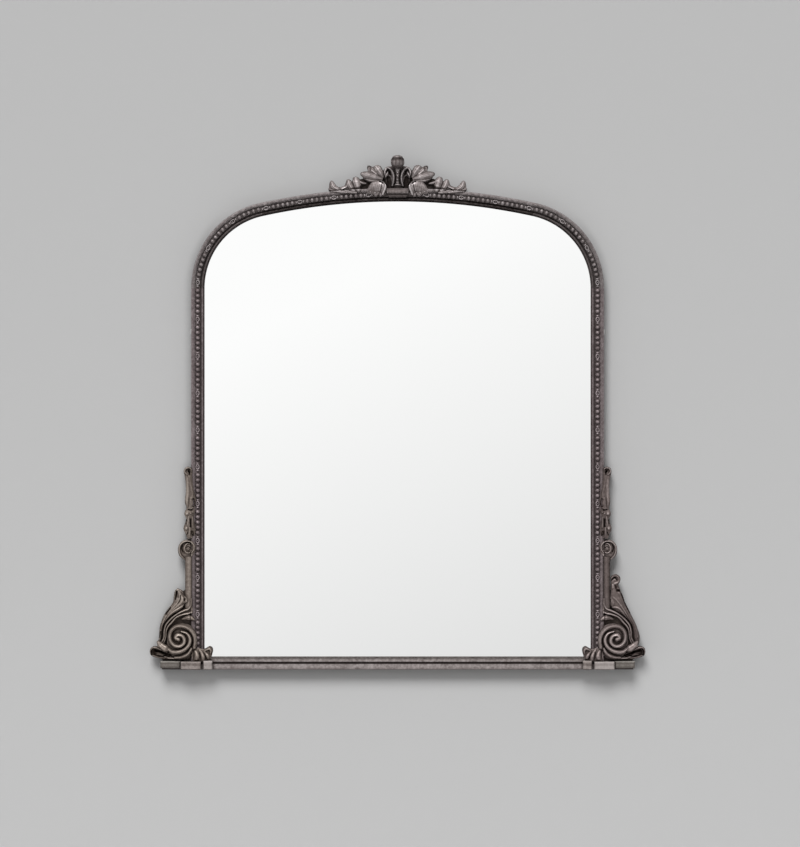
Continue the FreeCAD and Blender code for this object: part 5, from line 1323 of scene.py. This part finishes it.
def makeFinial():
    # a turned profile whose radius swells and shrinks round the axis in ribs between foot and cap
    low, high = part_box("crest_finial")
    middleY = (low.y + high.y) / 2
    radius = (high.x - low.x) / 2
    profile = smoothLine(finial["profileShares"], finial["rows"])
    turn = np.linspace(0, 2 * math.pi, finial["columns"], endpoint=False)[None, :]
    up = profile[:, 1:2]
    ribbed = np.interp(up, finial["ribSpanShares"], (0, 1, 1, 0))
    rib = np.abs(np.cos(turn * finial["ribs"] / 2)) ** finial["ribPower"]
    reach = radius * profile[:, :1] * (1 - finial["ribShare"] * ribbed * (1 - rib))
    rings = np.stack([reach * np.sin(turn), middleY - reach * np.cos(turn),
                      low.z + (high.z - low.z) * up + 0 * turn], -1)
    foot = rings[:1].copy()
    foot[..., 0] = 0
    foot[..., 1] = middleY
    rings = np.concatenate([foot, rings], 0)
    shade = np.interp(up, finial["reliefShares"], finial["reliefs"]) + finial["ribRelief"] * rib * ribbed
    shade = np.concatenate([shade[:1], shade], 0)
    return makeMesh("crest_finial_dome", rings, gridFaces(len(rings), finial["columns"], True), shade,
                    (), finial["sharpDegrees"])


settle(makeFinial(), silverCrest, "crest_finial")
print("crest done")


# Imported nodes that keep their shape

hardboard = makeBoard()
steel = makeSteel()
rubber = makeRubber()
keptFinishes = {
    "mirror_glass": makeMirrorGlass(), "backing_board": hardboard, "setting_blocks": rubber,
    "wall_bumpers": rubber, "frame_dowels": makeBeech(), "crest_pins": steel, "backing_clips": steel,
    "clip_screws": steel, "hanger_screws": steel, "base_rail": silverRail, "crest_board": shadedCrestBoard,
    "left_middle_plinth": silverDarkPlinth, "left_inner_plinth": silverWornPlinth,
    "right_middle_plinth": silverWornPlinth, "right_inner_plinth": silverDarkPlinth,
}
for label, finish in (("hanger_strap", steel), ("hanger_ring", steel), ("wing_board", silverWingBoard),
                      ("outer_plinth", silverOuterPlinth)):
    for sideName, side in sides:
        keptFinishes[f"{sideName}_{label}"] = finish
for name, finish in keptFinishes.items():
    dress(nodes[name], finish)
print("packed nodes finished")


# Stage, light and camera

stage = {
    "wallY": 30.4 * mm, "wallSize": 9.0, "wallColor": (0.478, 0.478, 0.478, 1),
    # the colour of the shadow painted on the wall near the mirror, its reach and where it fades out
    "wallShadow": (0.27, 0.27, 0.27, 1), "nearReach": 26 * mm, "nearSamples": 16,
    "nearLevels": (0.4, 0.95), "nearFades": (0.92, 1.08),
    "floorZ": -1.0, "floorSize": 9.0, "floorColor": (0.56, 0.56, 0.56, 1), "floorRoughness": 0.9,
    "white": (1, 1, 1, 1), "behind": (0.52, 0.52, 0.52, 1),
    "ambient": 0.36,
    "keyStrength": 2.72, "keySpread": 28, "keyFrom": (-0.18, -1.0, 1.0),
    "rearStrength": 1.6, "rearSpread": 40, "rearFrom": (-0.4, 1.0, 0.9),
    "glassBright": 0.988, "glassDim": 0.70,
    "glassSlopeX": -1.22, "glassSlopeZ": 2.57, "glassLevel": 0.907,
}


def mixShaders(tree, share, first, second):
    return addNode(tree, "ShaderNodeMixShader", {0: share, 1: first, 2: second}).outputs[0]


def makeBackdrop():
    # a matt wall with a shadow painted into its colour close to the mirror, left out above it where
    # the light reaches in, and that shows from the front only, so that the back of the mirror can be
    # seen; light rays that don't come from the camera, or by way of metal or glass, go through it
    material = bpy.data.materials.new("grey wall")
    material.use_nodes = True
    tree = material.node_tree
    tree.nodes.clear()
    closeness = addNode(tree, "ShaderNodeAmbientOcclusion", {"Distance": stage["nearReach"]},
                        samples=stage["nearSamples"]).outputs["AO"]
    up = addNode(tree, "ShaderNodeSeparateXYZ", {"Vector": objectPlace(tree)}).outputs["Z"]
    clearOf = remap(tree, closeness, *stage["nearLevels"])
    above = remap(tree, up, *stage["nearFades"])
    color = mixColors(tree, doMath(tree, "MAXIMUM", clearOf, above), stage["wallShadow"], stage["wallColor"])
    matt = addNode(tree, "ShaderNodeBsdfDiffuse", {"Color": color}).outputs[0]
    clear = addNode(tree, "ShaderNodeBsdfTransparent").outputs[0]
    facing = doMath(tree, "SUBTRACT", 1.0, addNode(tree, "ShaderNodeNewGeometry").outputs["Backfacing"])
    path = addNode(tree, "ShaderNodeLightPath").outputs
    seen = doMath(tree, "MAXIMUM", path["Is Camera Ray"], path["Is Glossy Ray"])
    seen = doMath(tree, "MAXIMUM", seen, path["Is Transmission Ray"])
    mixed = mixShaders(tree, doMath(tree, "MULTIPLY", facing, seen), clear, matt)
    addNode(tree, "ShaderNodeOutputMaterial", {"Surface": mixed})
    return material


def makePlane(name, corners, material):
    mesh = bpy.data.meshes.new(name)
    mesh.from_pydata(corners, [], [(0, 1, 2, 3)])
    plane = bpy.data.objects.new(name, mesh)
    bpy.context.scene.collection.objects.link(plane)
    dress(plane, material)


wallHalf = stage["wallSize"] / 2
wallY = stage["wallY"]
floorHalf = stage["floorSize"] / 2
floorZ = stage["floorZ"]
makePlane("wall", [(-wallHalf, wallY, floorZ), (wallHalf, wallY, floorZ),
                   (wallHalf, wallY, floorZ + wallHalf),
                   (-wallHalf, wallY, floorZ + wallHalf)], makeBackdrop())
makePlane("floor", [(-floorHalf, -floorHalf, floorZ), (floorHalf, -floorHalf, floorZ),
                    (floorHalf, floorHalf, floorZ), (-floorHalf, floorHalf, floorZ)],
          newMaterial("pale floor", roughness=stage["floorRoughness"], color=stage["floorColor"])[0])


def makeWorld():
    # Even light all round. Seen straight on it is the grey behind the wall, and in the mirror a
    # white room that dims towards one lower corner.
    world = bpy.data.worlds.new("studio")
    bpy.context.scene.world = world
    world.use_nodes = True
    tree = world.node_tree
    tree.nodes.clear()
    way = addNode(tree, "ShaderNodeTexCoord").outputs["Generated"]
    axes = addNode(tree, "ShaderNodeSeparateXYZ", {"Vector": way}).outputs
    slope = doMath(tree, "ADD", doMath(tree, "MULTIPLY", axes["X"], stage["glassSlopeX"]),
                   doMath(tree, "MULTIPLY", axes["Z"], stage["glassSlopeZ"]))
    level = doMath(tree, "ADD", slope, stage["glassLevel"])
    brightness = doMath(tree, "MAXIMUM", level, stage["glassDim"])
    brightness = doMath(tree, "MINIMUM", brightness, stage["glassBright"])
    even, behind, room = [
        addNode(tree, "ShaderNodeBackground", {"Color": stage[color], "Strength": strength}).outputs[0]
        for color, strength in (("white", stage["ambient"]), ("behind", 1), ("white", brightness))]
    path = addNode(tree, "ShaderNodeLightPath").outputs
    direct = mixShaders(tree, path["Is Camera Ray"], even, behind)
    glossy = doMath(tree, "MAXIMUM", path["Is Glossy Ray"], path["Is Transmission Ray"])
    addNode(tree, "ShaderNodeOutputWorld", {"Surface": mixShaders(tree, glossy, direct, room)})


def makeLamp(name):
    # far lamps as wide as a soft box, so that the wall is lit evenly
    lamp = bpy.data.lights.new(name, "SUN")
    lamp.energy = stage[f"{name}Strength"]
    lamp.angle = math.radians(stage[f"{name}Spread"])
    holder = bpy.data.objects.new(name, lamp)
    bpy.context.scene.collection.objects.link(holder)
    source = Vector(stage[f"{name}From"])
    holder.location = source
    holder.rotation_euler = source.to_track_quat("Z", "Y").to_euler()


makeWorld()
for name in ("key", "rear"):
    makeLamp(name)

view = {"distance": 12.0, "sensor": 36.0, "planeDepth": 28 * mm, "farthest": 100}


def makeCamera():
    # level and square to the mirror; the lens fits the photograph's height at the frame's front
    camera = bpy.data.cameras.new("camera")
    holder = bpy.data.objects.new("camera", camera)
    bpy.context.scene.collection.objects.link(holder)
    tall = photo["height"] * photo["pixel"]
    camera.sensor_width = view["sensor"]
    camera.lens = view["sensor"] * view["distance"] / tall
    camera.clip_end = view["farthest"]
    across = (photo["width"] / 2 - photo["middle"]) * photo["pixel"]
    up = (photo["foot"] - photo["height"] / 2) * photo["pixel"]
    holder.location = (across, frameBack - view["planeDepth"] - view["distance"], up)
    holder.rotation_euler = (math.pi / 2, 0, 0)
    bpy.context.scene.camera = holder


makeCamera()
bpy.context.scene.view_settings.view_transform = "Standard"
print("stage, light and camera ready")
